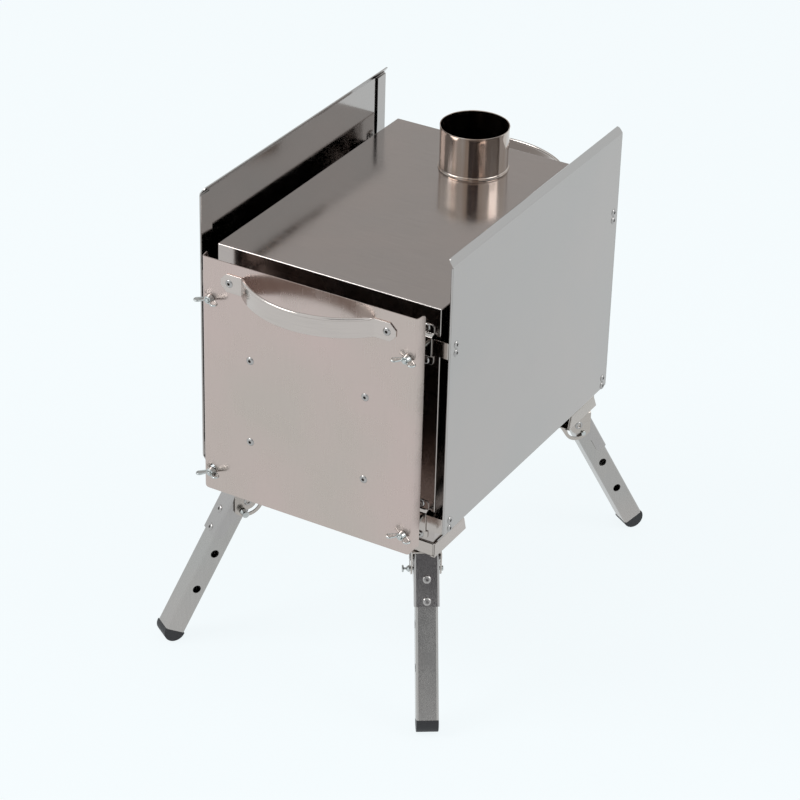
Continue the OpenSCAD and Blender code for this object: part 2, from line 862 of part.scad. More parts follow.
// Each screen's two rear straps and two front tongues, riveted on its hems
module screen_straps(side) {
    x = screen_x - screen_t;
    tip_x = stud_x - clip_w / 2 - strap_past_clip;
    arm_y = -end_y - strap_y - clip_t;
    tip_in = side_x + tongue_gap;
    leg_h = strap_w - strap_cut;
    color(steel) mirror([side < 0 ? 1 : 0, 0, 0]) for (z = stud_z) {
        difference() {
            union() {
                translate([x - clip_t, arm_y, z - strap_w / 2 + strap_cut])
                    cube([clip_t, strap_leg + clip_t, leg_h]);
                translate([tip_x, arm_y, z - strap_w / 2])
                    cube([x - clip_t - tip_x, clip_t, strap_w]);
            }
            for (s = [-1, 1])
                translate([x, -strap_rivet_y, z + screen_rivet_lift + s * strap_rivets / 2])
                    rotate([0, 90, 0]) rivet_hole(2 * clip_t);
        }
        difference() {
            union() {
                translate([x - clip_t, socket_y - strap_leg, z - strap_w / 2 + strap_cut])
                    cube([clip_t, strap_leg + clip_t / 2, leg_h]);
                translate([tip_in, socket_y - clip_t / 2, z - strap_w / 2])
                    cube([x - clip_t - tip_in, clip_t, strap_w]);
            }
            for (s = [-1, 1])
                translate([x, tongue_rivet_y, z + screen_rivet_lift + s * strap_rivets / 2])
                    rotate([0, 90, 0]) rivet_hole(2 * clip_t);
        }
    }
}

module screen_straps_left() screen_straps(-1);
module screen_straps_right() screen_straps(1);

module screen_rivets(side) {
    color(zinc) mirror([side < 0 ? 1 : 0, 0, 0])
        for (z = stud_z, s = [-1, 1], y = [-strap_rivet_y, tongue_rivet_y])
            translate([screen_x + screen_t, y,
                z + screen_rivet_lift + s * strap_rivets / 2])
                rotate([0, 90, 0]) rivet(2 * screen_t + clip_t);
}

module screen_rivets_left() screen_rivets(-1);
module screen_rivets_right() screen_rivets(1);

// Legs, drawn in the leg's own frame with the pivot at its origin

module across(r, z) {
    translate([0, 0, z]) rod_y(r, -tube_w, tube_w);
}

module sleeve_rivet_holes() {
    for (z = sleeve_rivets)
        translate([pivot_off + tube_w / 2, 0, -z]) rotate([0, 90, 0])
            rivet_hole(sleeve_t + tube_t);
}

module leg_tube(sx, sy) {
    inner = tube_w - 2 * tube_t;
    color(steel) leg_frame(sx, sy) difference() {
        translate([pivot_off, 0, -tube_end]) linear_extrude(tube_end + tube_top)
            difference() {
                rounded_square(tube_w, tube_w, tube_r);
                rounded_square(inner, inner, tube_r - tube_t);
            }
        across(pivot_d / 2 + fit, 0);
        across(lock_d / 2, -lock_reach);
        translate([pivot_off, 0, 0]) for (z = [peg_1, peg_2]) across(peg_d / 2, -z);
        sleeve_rivet_holes();
    }
}

module leg_tube_rear_left() leg_tube(-1, -1);
module leg_tube_rear_right() leg_tube(1, -1);
module leg_tube_front_left() leg_tube(-1, 1);
module leg_tube_front_right() leg_tube(1, 1);

// Side wing of the sleeve: broad at the pivot, narrow with a round toe below
module wing_outline() {
    outer = pivot_off + tube_w / 2 + sleeve_t;
    inner = pivot_off - tube_w / 2;
    past_middle = 0.6;
    neck = pivot_off + past_middle;
    toe = 4;
    step = [2, 3];
    broad_end = -16;
    narrow_start = -34;
    polygon([
        [outer, sleeve_top], [outer, -sleeve_l], [neck + toe, -sleeve_l],
        [neck, toe - sleeve_l], [neck, narrow_start],
        [neck - step[0], narrow_start + step[1]],
        [inner + step[0], broad_end - step[1]],
        [inner, broad_end], [inner, sleeve_top]
    ]);
    translate([neck + toe, toe - sleeve_l]) circle(toe);
}

module leg_sleeve(sx, sy) {
    half = tube_w / 2 + sleeve_t;
    face_x = pivot_off + tube_w / 2;
    leg_frame(sx, sy) {
        color(dark_steel) difference() {
            union() {
                translate([face_x, -half, -sleeve_l])
                    cube([sleeve_t, 2 * half, sleeve_l + sleeve_top]);
                for (y = [-tube_w / 2, half]) translate([0, y, 0]) rotate([90, 0, 0])
                    linear_extrude(sleeve_t) wing_outline();
            }
            across(pivot_d / 2 + fit, 0);
            across(lock_d / 2, -lock_reach);
            sleeve_rivet_holes();
        }
        color(zinc) for (z = sleeve_rivets)
            translate([face_x + sleeve_t, 0, -z]) rotate([0, 90, 0])
                rivet(sleeve_t + tube_t);
    }
}

module leg_sleeve_rear_left() leg_sleeve(-1, -1);
module leg_sleeve_rear_right() leg_sleeve(1, -1);
module leg_sleeve_front_left() leg_sleeve(-1, 1);
module leg_sleeve_front_right() leg_sleeve(1, 1);

module foot(sx, sy) {
    inner = tube_w - 2 * tube_t - 2 * fit;
    plug_l = 14;
    shy = 0.2;
    wide = tube_w - 2 * shy;
    color(rubber) leg_frame(sx, sy) translate([pivot_off, 0, 0]) {
        translate([0, wide / 2, -leg_len]) rotate([90, 0, 0]) linear_extrude(wide) {
            difference() {
                circle(sole_r, $fn = 64);
                translate([-2 * sole_r, 0]) square([4 * sole_r, 2 * sole_r]);
            }
            translate([-sole_r, 0]) square([2 * sole_r, sole_rim]);
        }
        translate([0, 0, -tube_end]) linear_extrude(plug_l)
            rounded_square(inner, inner, tube_r - tube_t);
    }
}

module foot_rear_left() foot(-1, -1);
module foot_rear_right() foot(1, -1);
module foot_front_left() foot(-1, 1);
module foot_front_right() foot(1, 1);

// Lock pin: a cross pin through both slots, with a ferrule and a hollow boss
module lock_pin(sx, sy) {
    ferrule = 2;
    ferrule_wall = 0.7;
    gap = 0.5;
    color(zinc) leg_frame(sx, sy) translate([0, 0, -lock_reach]) difference() {
        union() {
            rod_y(lock_d / 2, -ear_half - gap - ferrule, boss_y);
            translate([0, -ear_half - gap - ferrule, 0])
                rod_y(lock_d / 2 + ferrule_wall, 0, ferrule);
            translate([0, boss_y, 0]) rotate([-90, 0, 0])
                cylinder(r1 = boss_r, r2 = boss_r / 2, h = boss_h);
        }
        rod_y(stem_d / 2 + fit, stem_y - loose, boss_y + boss_h + cut);
    }
}

module lock_pin_rear_left() lock_pin(-1, -1);
module lock_pin_rear_right() lock_pin(1, -1);
module lock_pin_front_left() lock_pin(-1, 1);
module lock_pin_front_right() lock_pin(1, 1);

module lock_knob(sx, sy) {
    knob_out = 3;
    knob_y = boss_y + boss_h + knob_out;
    knob_t = 2;
    color(zinc) leg_frame(sx, sy) translate([0, 0, -lock_reach]) {
        rod_y(stem_d / 2, stem_y, knob_y + knob_t / 2);
        translate([0, knob_y, 0]) rod_y(boss_r, 0, knob_t);
    }
}

module lock_knob_rear_left() lock_knob(-1, -1);
module lock_knob_rear_right() lock_knob(1, -1);
module lock_knob_front_left() lock_knob(-1, 1);
module lock_knob_front_right() lock_knob(1, 1);

// Door, its hinges, its latch and its air slider

module hinge_leaves() {
    color(steel) for (z = hinge_z) difference() {
        union() {
            translate([hinge_x - leaf_l, end_y, z - knuckle_l])
                cube([leaf_l, leaf_t, knuckle_l]);
            translate([hinge_x, hinge_y, z - knuckle_l])
                cylinder(r = knuckle_r, h = knuckle_l);
        }
        translate([hinge_x, hinge_y, z - knuckle_l - cut])
            cylinder(d = hinge_d, h = knuckle_l + 2 * cut);
    }
}

module hinge_pins() {
    head_t = 2;
    head_rim = 1.2;
    color(zinc) for (z = hinge_z) translate([hinge_x, hinge_y, z]) {
        translate([0, 0, -knuckle_l]) cylinder(d = hinge_d, h = 2 * knuckle_l + 2 * loose);
        translate([0, 0, knuckle_l + 2 * loose]) cylinder(r = hinge_d / 2 + head_rim, h = head_t);
    }
}

// Catch: a step that stands off the wall over the latched tongue
module latch_catch() {
    tip_gap = 2;
    catch_h = 22;
    foot_w = 16;
    lip_w = 12;
    catch_x = latch_x + latch_tongue + tip_gap;
    tongue_y = door_face + loose + latch_t + loose;
    color(steel) {
        translate([catch_x, end_y, door_mid - catch_h / 2])
            cube([foot_w, leaf_t, catch_h]);
        translate([catch_x, end_y, door_mid - catch_h / 2])
            cube([leaf_t, tongue_y - end_y + leaf_t, catch_h]);
        translate([catch_x - lip_w, tongue_y, door_mid - catch_h / 2])
            cube([lip_w, leaf_t, catch_h]);
    }
}

module door_plate() {
    stud_head_r = 4;
    stud_head_t = 1.5;
    color(dark_steel) {
        difference() {
            union() {
                translate([-door_w / 2, door_y, door_z]) cube([door_w, door_t, door_h]);
                for (z = hinge_z) {
                    translate([hinge_x, door_face, z + loose])
                        cube([leaf_l + knuckle_r * 2, leaf_t, knuckle_l]);
                    translate([hinge_x, hinge_y, z + loose])
                        cylinder(r = knuckle_r, h = knuckle_l);
                }
            }
            for (z = hinge_z) translate([hinge_x, hinge_y, z])
                cylinder(d = hinge_d + 2 * fit, h = knuckle_l + cut);
            frontward(latch_x, door_y, door_mid) translate([0, 0, -cut])
                cylinder(d = latch_shaft_d + 2 * fit, h = door_t + 2 * cut);
            for (i = [0 : slider_holes - 1])
                frontward((i - (slider_holes - 1) / 2) * slider_pitch, door_y, slider_z)
                    translate([0, 0, -cut]) cylinder(d = slider_hole_d, h = door_t + 2 * cut);
        }
        for (s = [-1, 1]) frontward(s * slider_stud_x, door_face, slider_z) {
            cylinder(r = slider_stud_r, h = slider_t + 2 * loose);
            translate([0, 0, slider_t + 2 * loose])
                cylinder(r = stud_head_r, h = stud_head_t);
        }
    }
}

module door_latch() {
    color(steel) {
        frontward(latch_x, door_y, door_mid) {
            translate([0, 0, -loose - latch_t]) cylinder(d = latch_w, h = latch_t);
            translate([0, 0, -loose - latch_shaft_in])
                cylinder(d = latch_shaft_d, h = latch_out + loose + latch_shaft_in);
        }
        translate([latch_x - latch_w / 2, door_face + loose, door_mid - latch_w / 2])
            cube([latch_w, latch_t, latch_tongue + latch_w / 2]);
        translate([latch_x, door_y + latch_out, door_mid - latch_grip])
            cylinder(d = grip_d, h = latch_grip - latch_w / 2);
        translate([latch_x, door_y + latch_out, door_mid - latch_grip])
            cylinder(d = latch_shaft_d, h = latch_grip + latch_shaft_d / 2);
    }
}

// Air slider: a strip on two headed studs, with a tab to push
module air_slider() {
    tab_w = 12;
    grip_gap = 1;
    tab_out = latch_out - grip_d / 2 - door_t - 2 * loose - grip_gap;
    slot_r = slider_stud_r + loose;
    color(steel) translate([slider_x, door_face + loose, slider_z]) {
        difference() {
            translate([-slider_l / 2, 0, -slider_h / 2]) cube([slider_l, slider_t, slider_h]);
            for (s = [-1, 1]) translate([s * slider_stud_x - slider_x, 0, 0])
                rotate([-90, 0, 0]) translate([0, 0, -cut])
                    linear_extrude(slider_t + 2 * cut) {
                        circle(slot_r);
                        translate([-slider_travel, 0]) circle(slot_r);
                        translate([-slider_travel, -slot_r])
                            square([slider_travel, 2 * slot_r]);
                    }
            for (i = [0 : slider_holes - 1])
                translate([(i - (slider_holes - 1) / 2) * slider_pitch - slider_x
                    - slider_travel, -cut, 0]) rotate([-90, 0, 0])
                    cylinder(d = slider_hole_d, h = slider_t + 2 * cut);
        }
        translate([-tab_w / 2, 0, slider_h / 2 - slider_t])
            cube([tab_w, tab_out, slider_t]);
    }
}

top_plate();
side_plate_left();
side_plate_right();
bottom_plate();
rear_wall();
front_wall();
flue_ring();
flue_collar();
baffle_plate();
grate();
cross_member_rear();
cross_member_front();
shell_rivets();
cover_keepers();
cover_studs();
front_handle();
screen_sockets();
leg_brackets();
pivot_rivets();
hinge_leaves();
hinge_pins();
latch_catch();
cover_plate();
cover_reflector();
cover_spacers();
cover_rivets();
cover_handle();
wing_nut_upper_left();
wing_nut_upper_right();
wing_nut_lower_left();
wing_nut_lower_right();
side_screen_left();
side_screen_right();
screen_straps_left();
screen_straps_right();
screen_rivets_left();
screen_rivets_right();
leg_tube_rear_left();
leg_tube_rear_right();
leg_tube_front_left();
leg_tube_front_right();
leg_sleeve_rear_left();
leg_sleeve_rear_right();
leg_sleeve_front_left();
leg_sleeve_front_right();
foot_rear_left();
foot_rear_right();
foot_front_left();
foot_front_right();
lock_pin_rear_left();
lock_pin_rear_right();
lock_pin_front_left();
lock_pin_front_right();
lock_knob_rear_left();
lock_knob_rear_right();
lock_knob_front_left();
lock_knob_front_right();
door_plate();
door_latch();
air_slider();
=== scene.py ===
"""The looks of a tent wood stove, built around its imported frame."""

import json
import math

import bmesh
import bpy
from mathutils import Matrix, Vector


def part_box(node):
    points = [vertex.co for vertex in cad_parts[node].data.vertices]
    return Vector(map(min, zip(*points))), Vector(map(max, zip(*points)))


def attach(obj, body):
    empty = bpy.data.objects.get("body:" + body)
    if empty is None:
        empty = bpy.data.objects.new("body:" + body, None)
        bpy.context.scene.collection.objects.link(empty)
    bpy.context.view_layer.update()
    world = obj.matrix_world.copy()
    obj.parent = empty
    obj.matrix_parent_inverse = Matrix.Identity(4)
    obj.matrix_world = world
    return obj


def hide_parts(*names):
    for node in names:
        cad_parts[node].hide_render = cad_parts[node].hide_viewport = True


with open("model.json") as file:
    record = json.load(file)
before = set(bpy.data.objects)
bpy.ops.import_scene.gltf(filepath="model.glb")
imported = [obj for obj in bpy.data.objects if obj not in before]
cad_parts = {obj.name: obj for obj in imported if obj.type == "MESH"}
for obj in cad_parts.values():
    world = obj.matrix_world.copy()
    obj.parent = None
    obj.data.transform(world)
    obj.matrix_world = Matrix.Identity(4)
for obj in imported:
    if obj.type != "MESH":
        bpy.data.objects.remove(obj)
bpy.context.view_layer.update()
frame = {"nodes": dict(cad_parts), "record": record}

MM = 0.001
UP = Vector((0, 0, 1))
CORNERS = {"rear_left": (-1, -1), "rear_right": (1, -1),
           "front_left": (-1, 1), "front_right": (1, 1)}
SLOT_OF = {s["node"]: s["material_slot"] for s in frame["record"]["subparts"]}
BODY_OF = {n: b for b, ns in frame["record"]["behaviour"]["bodies"].items() for n in ns}
DONE = set()

# Sizes in millimetres. Heights come from the frame
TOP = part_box("top_plate")[1].z / MM
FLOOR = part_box("bottom_plate")[0].z / MM
SIDE, END, WALL = 140, 194, 1.5
MEMBER_W, MEMBER_H, MEMBER_END_H = 69, 17.5, 18
MEMBER_Z = FLOOR - MEMBER_H
PIVOT_X, PIVOT_Y, PIVOT_Z = 120.9, 176.9, MEMBER_Z - 15.5
LEG_TILT = math.radians(28.35)
LEG_PLAN = math.radians(56.4)
LEG_LEN, LOCK_REACH, SOLE_R = 181.7, 13.5, 13
FLUE_Y, SEAM_TURN = 126.4, -62
CLIP, CLIP_RIVET = 1.2, 19.7
RIVET_R, STUD_HOLE, FLUE_HOLE = 2.4, 4.25, 39.8
STUD_X, STUD_Z, STUD_END = 123, (FLOOR + 27.2, FLOOR + 245.7), 47.8
COVER_Y, COVER_HALF, COVER_Z, COVER_H = 233.8, 133.7, FLOOR + 3.4, 291.3
SPACER_X, SPACER_Z, SPACER_HALF = 72.5, FLOOR + 132, 51.15
HANDLE_Z, HANDLE_RIVET = TOP - 19.5, 98
SOCKET_Y = 183.5
STRAP_W, SCREEN_LIFT, SCREEN_PITCH = 19, 1.3, 10
SCREEN_X, SCREEN_Z, SCREEN_H = 155.5, FLOOR + 20.5, 328.7
SCREEN_REAR, SCREEN_FRONT = -203.7, 188.9
MOUTH_X, MOUTH_LOW, MOUTH_HIGH = 74, FLOOR + 38, FLOOR + 160
LATCH_X, LATCH_Z = 60, FLOOR + 99

# The view and the light
CAMERA_PLACE, CAMERA_ANGLES, LENS = (1.3908, -2.4920, 1.90798), (29.461, 30.224, 1.555), 128.27
AIM = (0, 0, 0.3)
SKY_LEVEL, PAPER_GLOW = 0.55, 0.92

# Colours as linear values
PALE = (0.925, 0.98, 1.0, 1)


# Materials

def node_tree(name):
    material = bpy.data.materials.new(name)
    material.use_nodes = True
    tree = material.node_tree
    return material, tree, tree.nodes["Principled BSDF"]


def add(tree, kind, **values):
    """A new node with its properties and, by name, its inputs set."""
    node = tree.nodes.new("ShaderNode" + kind)
    for key, value in values.items():
        if hasattr(node, key):
            setattr(node, key, value)
        else:
            node.inputs[key.replace("_", " ").title()].default_value = value
    return node


def link(tree, source, target):
    tree.links.new(source, target)


def noise(tree, scale, stretch=(1, 1, 1), detail=3.0, offset=(0, 0, 0)):
    """Noise over the object's own coordinates, in features per metre."""
    coordinates = add(tree, "TexCoord")
    mapping = add(tree, "Mapping", Scale=stretch, Location=offset)
    texture = add(tree, "TexNoise", Scale=scale, Detail=detail)
    link(tree, coordinates.outputs["Object"], mapping.inputs["Vector"])
    link(tree, mapping.outputs["Vector"], texture.inputs["Vector"])
    return texture.outputs["Fac"]


def ramp(tree, factor, low, high, positions=(0.35, 0.65)):
    """A value or colour that runs from low to high as the factor does."""
    node = add(tree, "ValToRGB")
    first, second = node.color_ramp.elements
    first.position, second.position = positions
    as_colour = lambda c: (c, c, c, 1) if isinstance(c, float) else (*c[:3], 1)
    first.color, second.color = as_colour(low), as_colour(high)
    link(tree, factor, node.inputs["Fac"])
    return node.outputs["Color"]


def blend_colour(tree, factor, one, other, kind="MIX"):
    """One colour output mixed with another colour or output."""
    node = add(tree, "MixRGB", blend_type=kind)
    if isinstance(factor, float):
        node.inputs["Fac"].default_value = factor
    else:
        link(tree, factor, node.inputs["Fac"])
    for socket, value in (("Color1", one), ("Color2", other)):
        if isinstance(value, tuple):
            node.inputs[socket].default_value = (*value[:3], 1)
        else:
            link(tree, value, node.inputs[socket])
    return node.outputs["Color"]


def total(tree, *terms):
    """The sum of several value outputs."""
    out = terms[0]
    for term in terms[1:]:
        node = add(tree, "Math", operation="ADD")
        link(tree, out, node.inputs[0])
        link(tree, term, node.inputs[1])
        out = node.outputs[0]
    return out


def roughen(tree, shader, height, depth, distance=0.0002):
    """Bump of a real height, in metres, from a value output."""
    bump = add(tree, "Bump", Strength=depth, Distance=distance)
    link(tree, height, bump.inputs["Height"])
    link(tree, bump.outputs["Normal"], shader.inputs["Normal"])


def steel(name, colour, tint, rough=0.3, grain=(1, 1, 60), depth=0.1, patch=7.0, smudge=0.05,
          streak=0.06):
    """Rolled stainless sheet: fine grain along the rolling, cloudy tints and hand smudges."""
    material, tree, shader = node_tree(name)
    shader.inputs["Metallic"].default_value = 1
    patches = noise(tree, patch, detail=2.5)
    streaks = noise(tree, 26.0, grain, detail=4.0, offset=(3, 1, 2))
    smudges = noise(tree, 30.0, detail=5.0, offset=(7, 5, 1))
    base = ramp(tree, patches, colour, tint)
    lines = ramp(tree, streaks, 1.0 - streak, 1.0, (0.3, 0.6))
    link(tree, blend_colour(tree, 1.0, base, lines, "MULTIPLY"), shader.inputs["Base Color"])
    link(tree, total(tree, ramp(tree, streaks, rough - 0.03, rough + 0.03, (0.3, 0.7)),
                     ramp(tree, smudges, 0.0, smudge, (0.48, 0.75))), shader.inputs["Roughness"])
    roughen(tree, shader, streaks, depth)
    return material


def streak_painted_collar(name, colour, copper, rough):
    """A polished collar of warm steel, with painted reflection streaks in its colour: darker
    coppery bands that run up it.
    """
    material, tree, shader = node_tree(name)
    shader.inputs["Metallic"].default_value = 1
    streaks = noise(tree, 60.0, (1, 1, 0.06), detail=4.0)
    clouds = noise(tree, 16.0, detail=3.0, offset=(4, 2, 6))
    # Painted reflection streaks: the base colour runs in vertical bands between darker copper and
    # the steel's colour.
    base = ramp(tree, streaks, copper, colour, (0.36, 0.6))
    link(tree, blend_colour(tree, ramp(tree, clouds, 0.0, 0.5, (0.4, 0.7)), base, colour),
         shader.inputs["Base Color"])
    link(tree, ramp(tree, streaks, rough, rough + 0.07), shader.inputs["Roughness"])
    roughen(tree, shader, streaks, 0.08)
    return material


def zinc(name, colour=(0.62, 0.63, 0.62), rough=0.22):
    """Bright zinc plate with a slightly uneven crystalline surface."""
    material, tree, shader = node_tree(name)
    shader.inputs["Metallic"].default_value = 1
    cloud = noise(tree, 260.0, detail=3.0)
    link(tree, ramp(tree, cloud, tuple(c * 0.82 for c in colour), colour),
         shader.inputs["Base Color"])
    link(tree, ramp(tree, cloud, rough, rough + 0.16), shader.inputs["Roughness"])
    roughen(tree, shader, cloud, 0.05)
    return material


def rubber(name):
    """Moulded black rubber with a fine dull texture."""
    material, tree, shader = node_tree(name)
    grain = noise(tree, 900.0, detail=3.0)
    link(tree, ramp(tree, grain, (0.012, 0.012, 0.014), (0.026, 0.026, 0.029)),
         shader.inputs["Base Color"])
    link(tree, ramp(tree, grain, 0.42, 0.7), shader.inputs["Roughness"])
    roughen(tree, shader, grain, 0.25)
    return material


def sooty(name):
    """Hot rolled steel inside the firebox, dull and dark."""
    material, tree, shader = node_tree(name)
    shader.inputs["Metallic"].default_value = 0.8
    cloud = noise(tree, 40.0, detail=6.0)
    link(tree, ramp(tree, cloud, (0.03, 0.028, 0.027), (0.09, 0.08, 0.075)),
         shader.inputs["Base Color"])
    link(tree, ramp(tree, cloud, 0.5, 0.8), shader.inputs["Roughness"])
    roughen(tree, shader, cloud, 0.3, 0.0005)
    return material


MATERIALS = {
    "firebox": steel("firebox_steel", (0.45, 0.40, 0.378), (0.425, 0.39, 0.372), 0.14,
                     grain=(1, 40, 40), depth=0.03),
    # The collar's darker coppery vertical streaks are painted reflection bands.
    "collar": streak_painted_collar("collar_steel", (0.53, 0.47, 0.43), (0.40, 0.30, 0.24), 0.06),
    "hearth": sooty("hearth_steel"),
    "members": steel("member_steel", (0.50, 0.44, 0.41), (0.46, 0.42, 0.385), 0.2),
    "clips": steel("clip_steel", (0.47, 0.42, 0.39), (0.43, 0.40, 0.38), 0.11, grain=(30, 30, 1),
                   depth=0.04),
    "rivets": zinc("rivet_steel", (0.44, 0.42, 0.41), 0.14),
    "zinc": zinc("zinc_plate", (0.55, 0.565, 0.555), 0.13),
    "rear_plate": steel("rear_plate_steel", (0.55, 0.445, 0.415), (0.505, 0.44, 0.40), 0.23,
                        grain=(40, 1, 1), depth=0.03, patch=6.0, smudge=0.12, streak=0.03),
    "handles": steel("handle_steel", (0.55, 0.49, 0.46), (0.52, 0.47, 0.44), 0.14,
                     grain=(1, 1, 40), depth=0.03),
    "screens": steel("screen_steel", (0.44, 0.41, 0.395), (0.42, 0.402, 0.39), 0.1,
                     grain=(1, 1, 40), depth=0.02, patch=5.0, streak=0.02),
    "leg_tubes": steel("leg_steel", (0.44, 0.405, 0.385), (0.41, 0.395, 0.38), 0.24,
                       grain=(30, 30, 1), depth=0.05),
    "leg_sleeves": steel("sleeve_steel", (0.43, 0.40, 0.39), (0.40, 0.38, 0.37), 0.18,
                         grain=(30, 30, 1), depth=0.05),
    "feet": rubber("foot_rubber"),
    "door": steel("door_steel", (0.445, 0.39, 0.368), (0.42, 0.38, 0.35), 0.2),
}


# Shapes in millimetres, made in a bmesh and moved into place by a matrix

def frame_at(origin, x, y, z):
    """A matrix with its origin in place and its axes along x, y and z."""
    matrix = Matrix((x, y, z)).transposed().to_4x4()
    matrix.translation = origin
    return matrix


def rearward(x, y, z):
    """Local Z points to -Y, local X to +X and local Y up."""
    return frame_at((x, y, z), (1, 0, 0), (0, 0, 1), (0, -1, 0))


def frontward(x, y, z):
    """Local Z points to +Y, local X to -X and local Y up."""
    return frame_at((x, y, z), (-1, 0, 0), (0, 0, 1), (0, 1, 0))


def sideward(side, x, y, z):
    """Local Z points away from the stove on one side, local X to +Y and local Y up."""
    return frame_at((side * x, y, z), (0, 1, 0), (0, 0, 1), (side, 0, 0))


def corner_place(sx, sy):
    """A leg bracket's frame: Z up, X outward over the foot, the pivot at its origin."""
    return (Matrix.Diagonal((sx, sy, 1, 1)) @ Matrix.Translation((PIVOT_X, PIVOT_Y, PIVOT_Z))
            @ Matrix.Rotation(LEG_PLAN, 4, "Z"))


def leg_place(sx, sy):
    """The standing leg's frame: as its bracket's, with Z up the tube."""
    return corner_place(sx, sy) @ Matrix.Rotation(-LEG_TILT, 4, "Y")


def arc(centre, radius, start, end, steps=8):
    """Points on an arc, with its angles in degrees."""
    return [(centre[0] + radius * math.cos(a), centre[1] + radius * math.sin(a))
            for a in (math.radians(start + (end - start) * i / steps) for i in range(steps + 1))]


def rounded(path, radius, steps=6, least=15):
    """An open path whose corners are arcs, apart from turns of under least degrees."""
    path = [Vector(p) for p in path]
    out = [path[0]]
    for before, at, after in zip(path, path[1:], path[2:]):
        back, on = (before - at).normalized(), (after - at).normalized()
        turn = math.pi - back.angle(on)
        if turn < math.radians(least):
            out.append(at)
            continue
        start = at + back * radius * math.tan(turn / 2)
        centre = at + (back + on).normalized() * radius / math.cos(turn / 2)
        spoke = start - centre
        sign = 1 if back.x * on.y - back.y * on.x < 0 else -1
        for i in range(steps + 1):
            a = sign * turn * i / steps
            out.append(centre + Vector((spoke.x * math.cos(a) - spoke.y * math.sin(a),
                                        spoke.x * math.sin(a) + spoke.y * math.cos(a))))
    return out + [path[-1]]


def ribbon(path, thickness):
    """The outline of a strip of sheet whose middle follows a path."""
    path = [Vector(p) for p in path]
    one, other = [], []
    for i, point in enumerate(path):
        back = (point - path[i - 1]).normalized() if i else None
        on = (path[i + 1] - point).normalized() if i + 1 < len(path) else back
        back = back or on
        along = (back + on).normalized()
        reach = thickness / 2 / max(along.dot(on), 0.3)
        across = Vector((-along.y, along.x)) * reach
        one.append(point + across)
        other.append(point - across)
    return one + other[::-1]


def loft(work, loops):
    """A solid that joins closed loops with as many points each."""
    rings = [[work.verts.new(p) for p in loop] for loop in loops]
    work.faces.new(rings[0])
    work.faces.new(rings[-1])
    for a, b in zip(rings, rings[1:]):
        for i in range(len(a)):
            j = (i + 1) % len(a)
            work.faces.new((a[i], a[j], b[j], b[i]))


def prism(work, outline, low, high, place=Matrix()):
    """A solid with this outline in the place's XY plane, from z low to z high."""
    loft(work, [[place @ Vector((p[0], p[1], z)) for p in outline] for z in (low, high)])


def block(work, low, high, place=Matrix()):
    """A box between two corners."""
    prism(work, [low[:2], (high[0], low[1]), high[:2], (low[0], high[1])], low[2], high[2], place)


def disc(work, x, y, radius, low, high, place=Matrix(), steps=32):
    """A round rod along the place's Z axis."""
    prism(work, arc((x, y), radius, 0, 360 - 360 / steps, steps - 1), low, high, place)


def lathe(work, profile, place=Matrix(), steps=32):
    """A profile of (radius, height) turned about the place's Z axis."""
    rings = []
    for radius, height in profile:
        turns = steps if radius > 0 else 1
        angles = [math.tau * i / turns for i in range(turns)]
        rings.append([work.verts.new(place @ Vector((
            radius * math.cos(t), radius * math.sin(t), height))) for t in angles])
    pairs = list(zip(rings, rings[1:]))
    if profile[0][0] > 0:
        pairs.append((rings[-1], rings[0]))
    for a, b in pairs:
        for i in range(steps):
            j = (i + 1) % steps
            corners = (a[i % len(a)], a[j % len(a)], b[j % len(b)], b[i % len(b)])
            if len(set(corners)) > 2:
                work.faces.new(dict.fromkeys(corners))


def tube(work, path, radius, sides=10, place=Matrix(), taper=()):
    """A round rod along a path. Its first and last rings shrink by the taper's factors."""
    path = [Vector(p) for p in path]
    sizes = [radius] * len(path)
    for i, factor in enumerate(taper):
        sizes[i] = sizes[-1 - i] = radius * factor
    side = (path[1] - path[0]).orthogonal().normalized()
    loops = []
    for i, point in enumerate(path):
        along = (path[min(i + 1, len(path) - 1)] - path[max(i - 1, 0)]).normalized()
        side = (side - along * side.dot(along)).normalized()
        up = along.cross(side)
        loops.append([place @ (point + sizes[i] * (
            side * math.cos(math.tau * k / sides) + up * math.sin(math.tau * k / sides)))
            for k in range(sides)])
    loft(work, loops)


XZ = frame_at((0, 0, 0), (1, 0, 0), (0, 0, 1), (0, 1, 0))
YZ = frame_at((0, 0, 0), (0, 1, 0), (0, 0, 1), (1, 0, 0))


# Pieces from shapes

def mesh_object(name, work):
    """An object in metres from a bmesh in millimetres."""
    bmesh.ops.recalc_face_normals(work, faces=work.faces)
    bmesh.ops.scale(work, vec=(MM, MM, MM), verts=work.verts)
    mesh = bpy.data.meshes.new(name)
    work.to_mesh(mesh)
    work.free()
    piece = bpy.data.objects.new(name, mesh)
    bpy.context.scene.collection.objects.link(piece)
    return piece


def cut(piece, work, operation="DIFFERENCE"):
    """Takes the solids of a bmesh out of a piece, or keeps what both hold."""
    tool = mesh_object("cutter", work)
    modifier = piece.modifiers.new("cut", "BOOLEAN")
    modifier.operation = operation
    modifier.solver = "EXACT"
    modifier.object = tool
    graph = bpy.context.evaluated_depsgraph_get()
    mesh = bpy.data.meshes.new_from_object(piece.evaluated_get(graph))
    piece.modifiers.clear()
    piece.data = mesh
    bpy.data.objects.remove(tool)


def add_solids(piece, work):
    """Adds the solids of a bmesh to a piece that is already cut."""
    more = mesh_object("more", work)
    both = bmesh.new()
    both.from_mesh(piece.data)
    both.from_mesh(more.data)
    both.to_mesh(piece.data)
    both.free()
    bpy.data.objects.remove(more)


def ease_edges(piece, width, angle=35):
    """Smooth shading that keeps flat faces flat, with small bevels on sharp edges."""
    for polygon in piece.data.polygons:
        polygon.use_smooth = True
    piece.data.set_sharp_from_angle(angle=math.radians(angle))
    if width:
        eased = piece.modifiers.new("eased edges", "BEVEL")
        eased.width = width * MM
        eased.segments = 2
        eased.limit_method = "ANGLE"
        eased.angle_limit = math.radians(angle)
    weighted = piece.modifiers.new("flat faces", "WEIGHTED_NORMAL")
    weighted.keep_sharp = True
    weighted.weight = 80


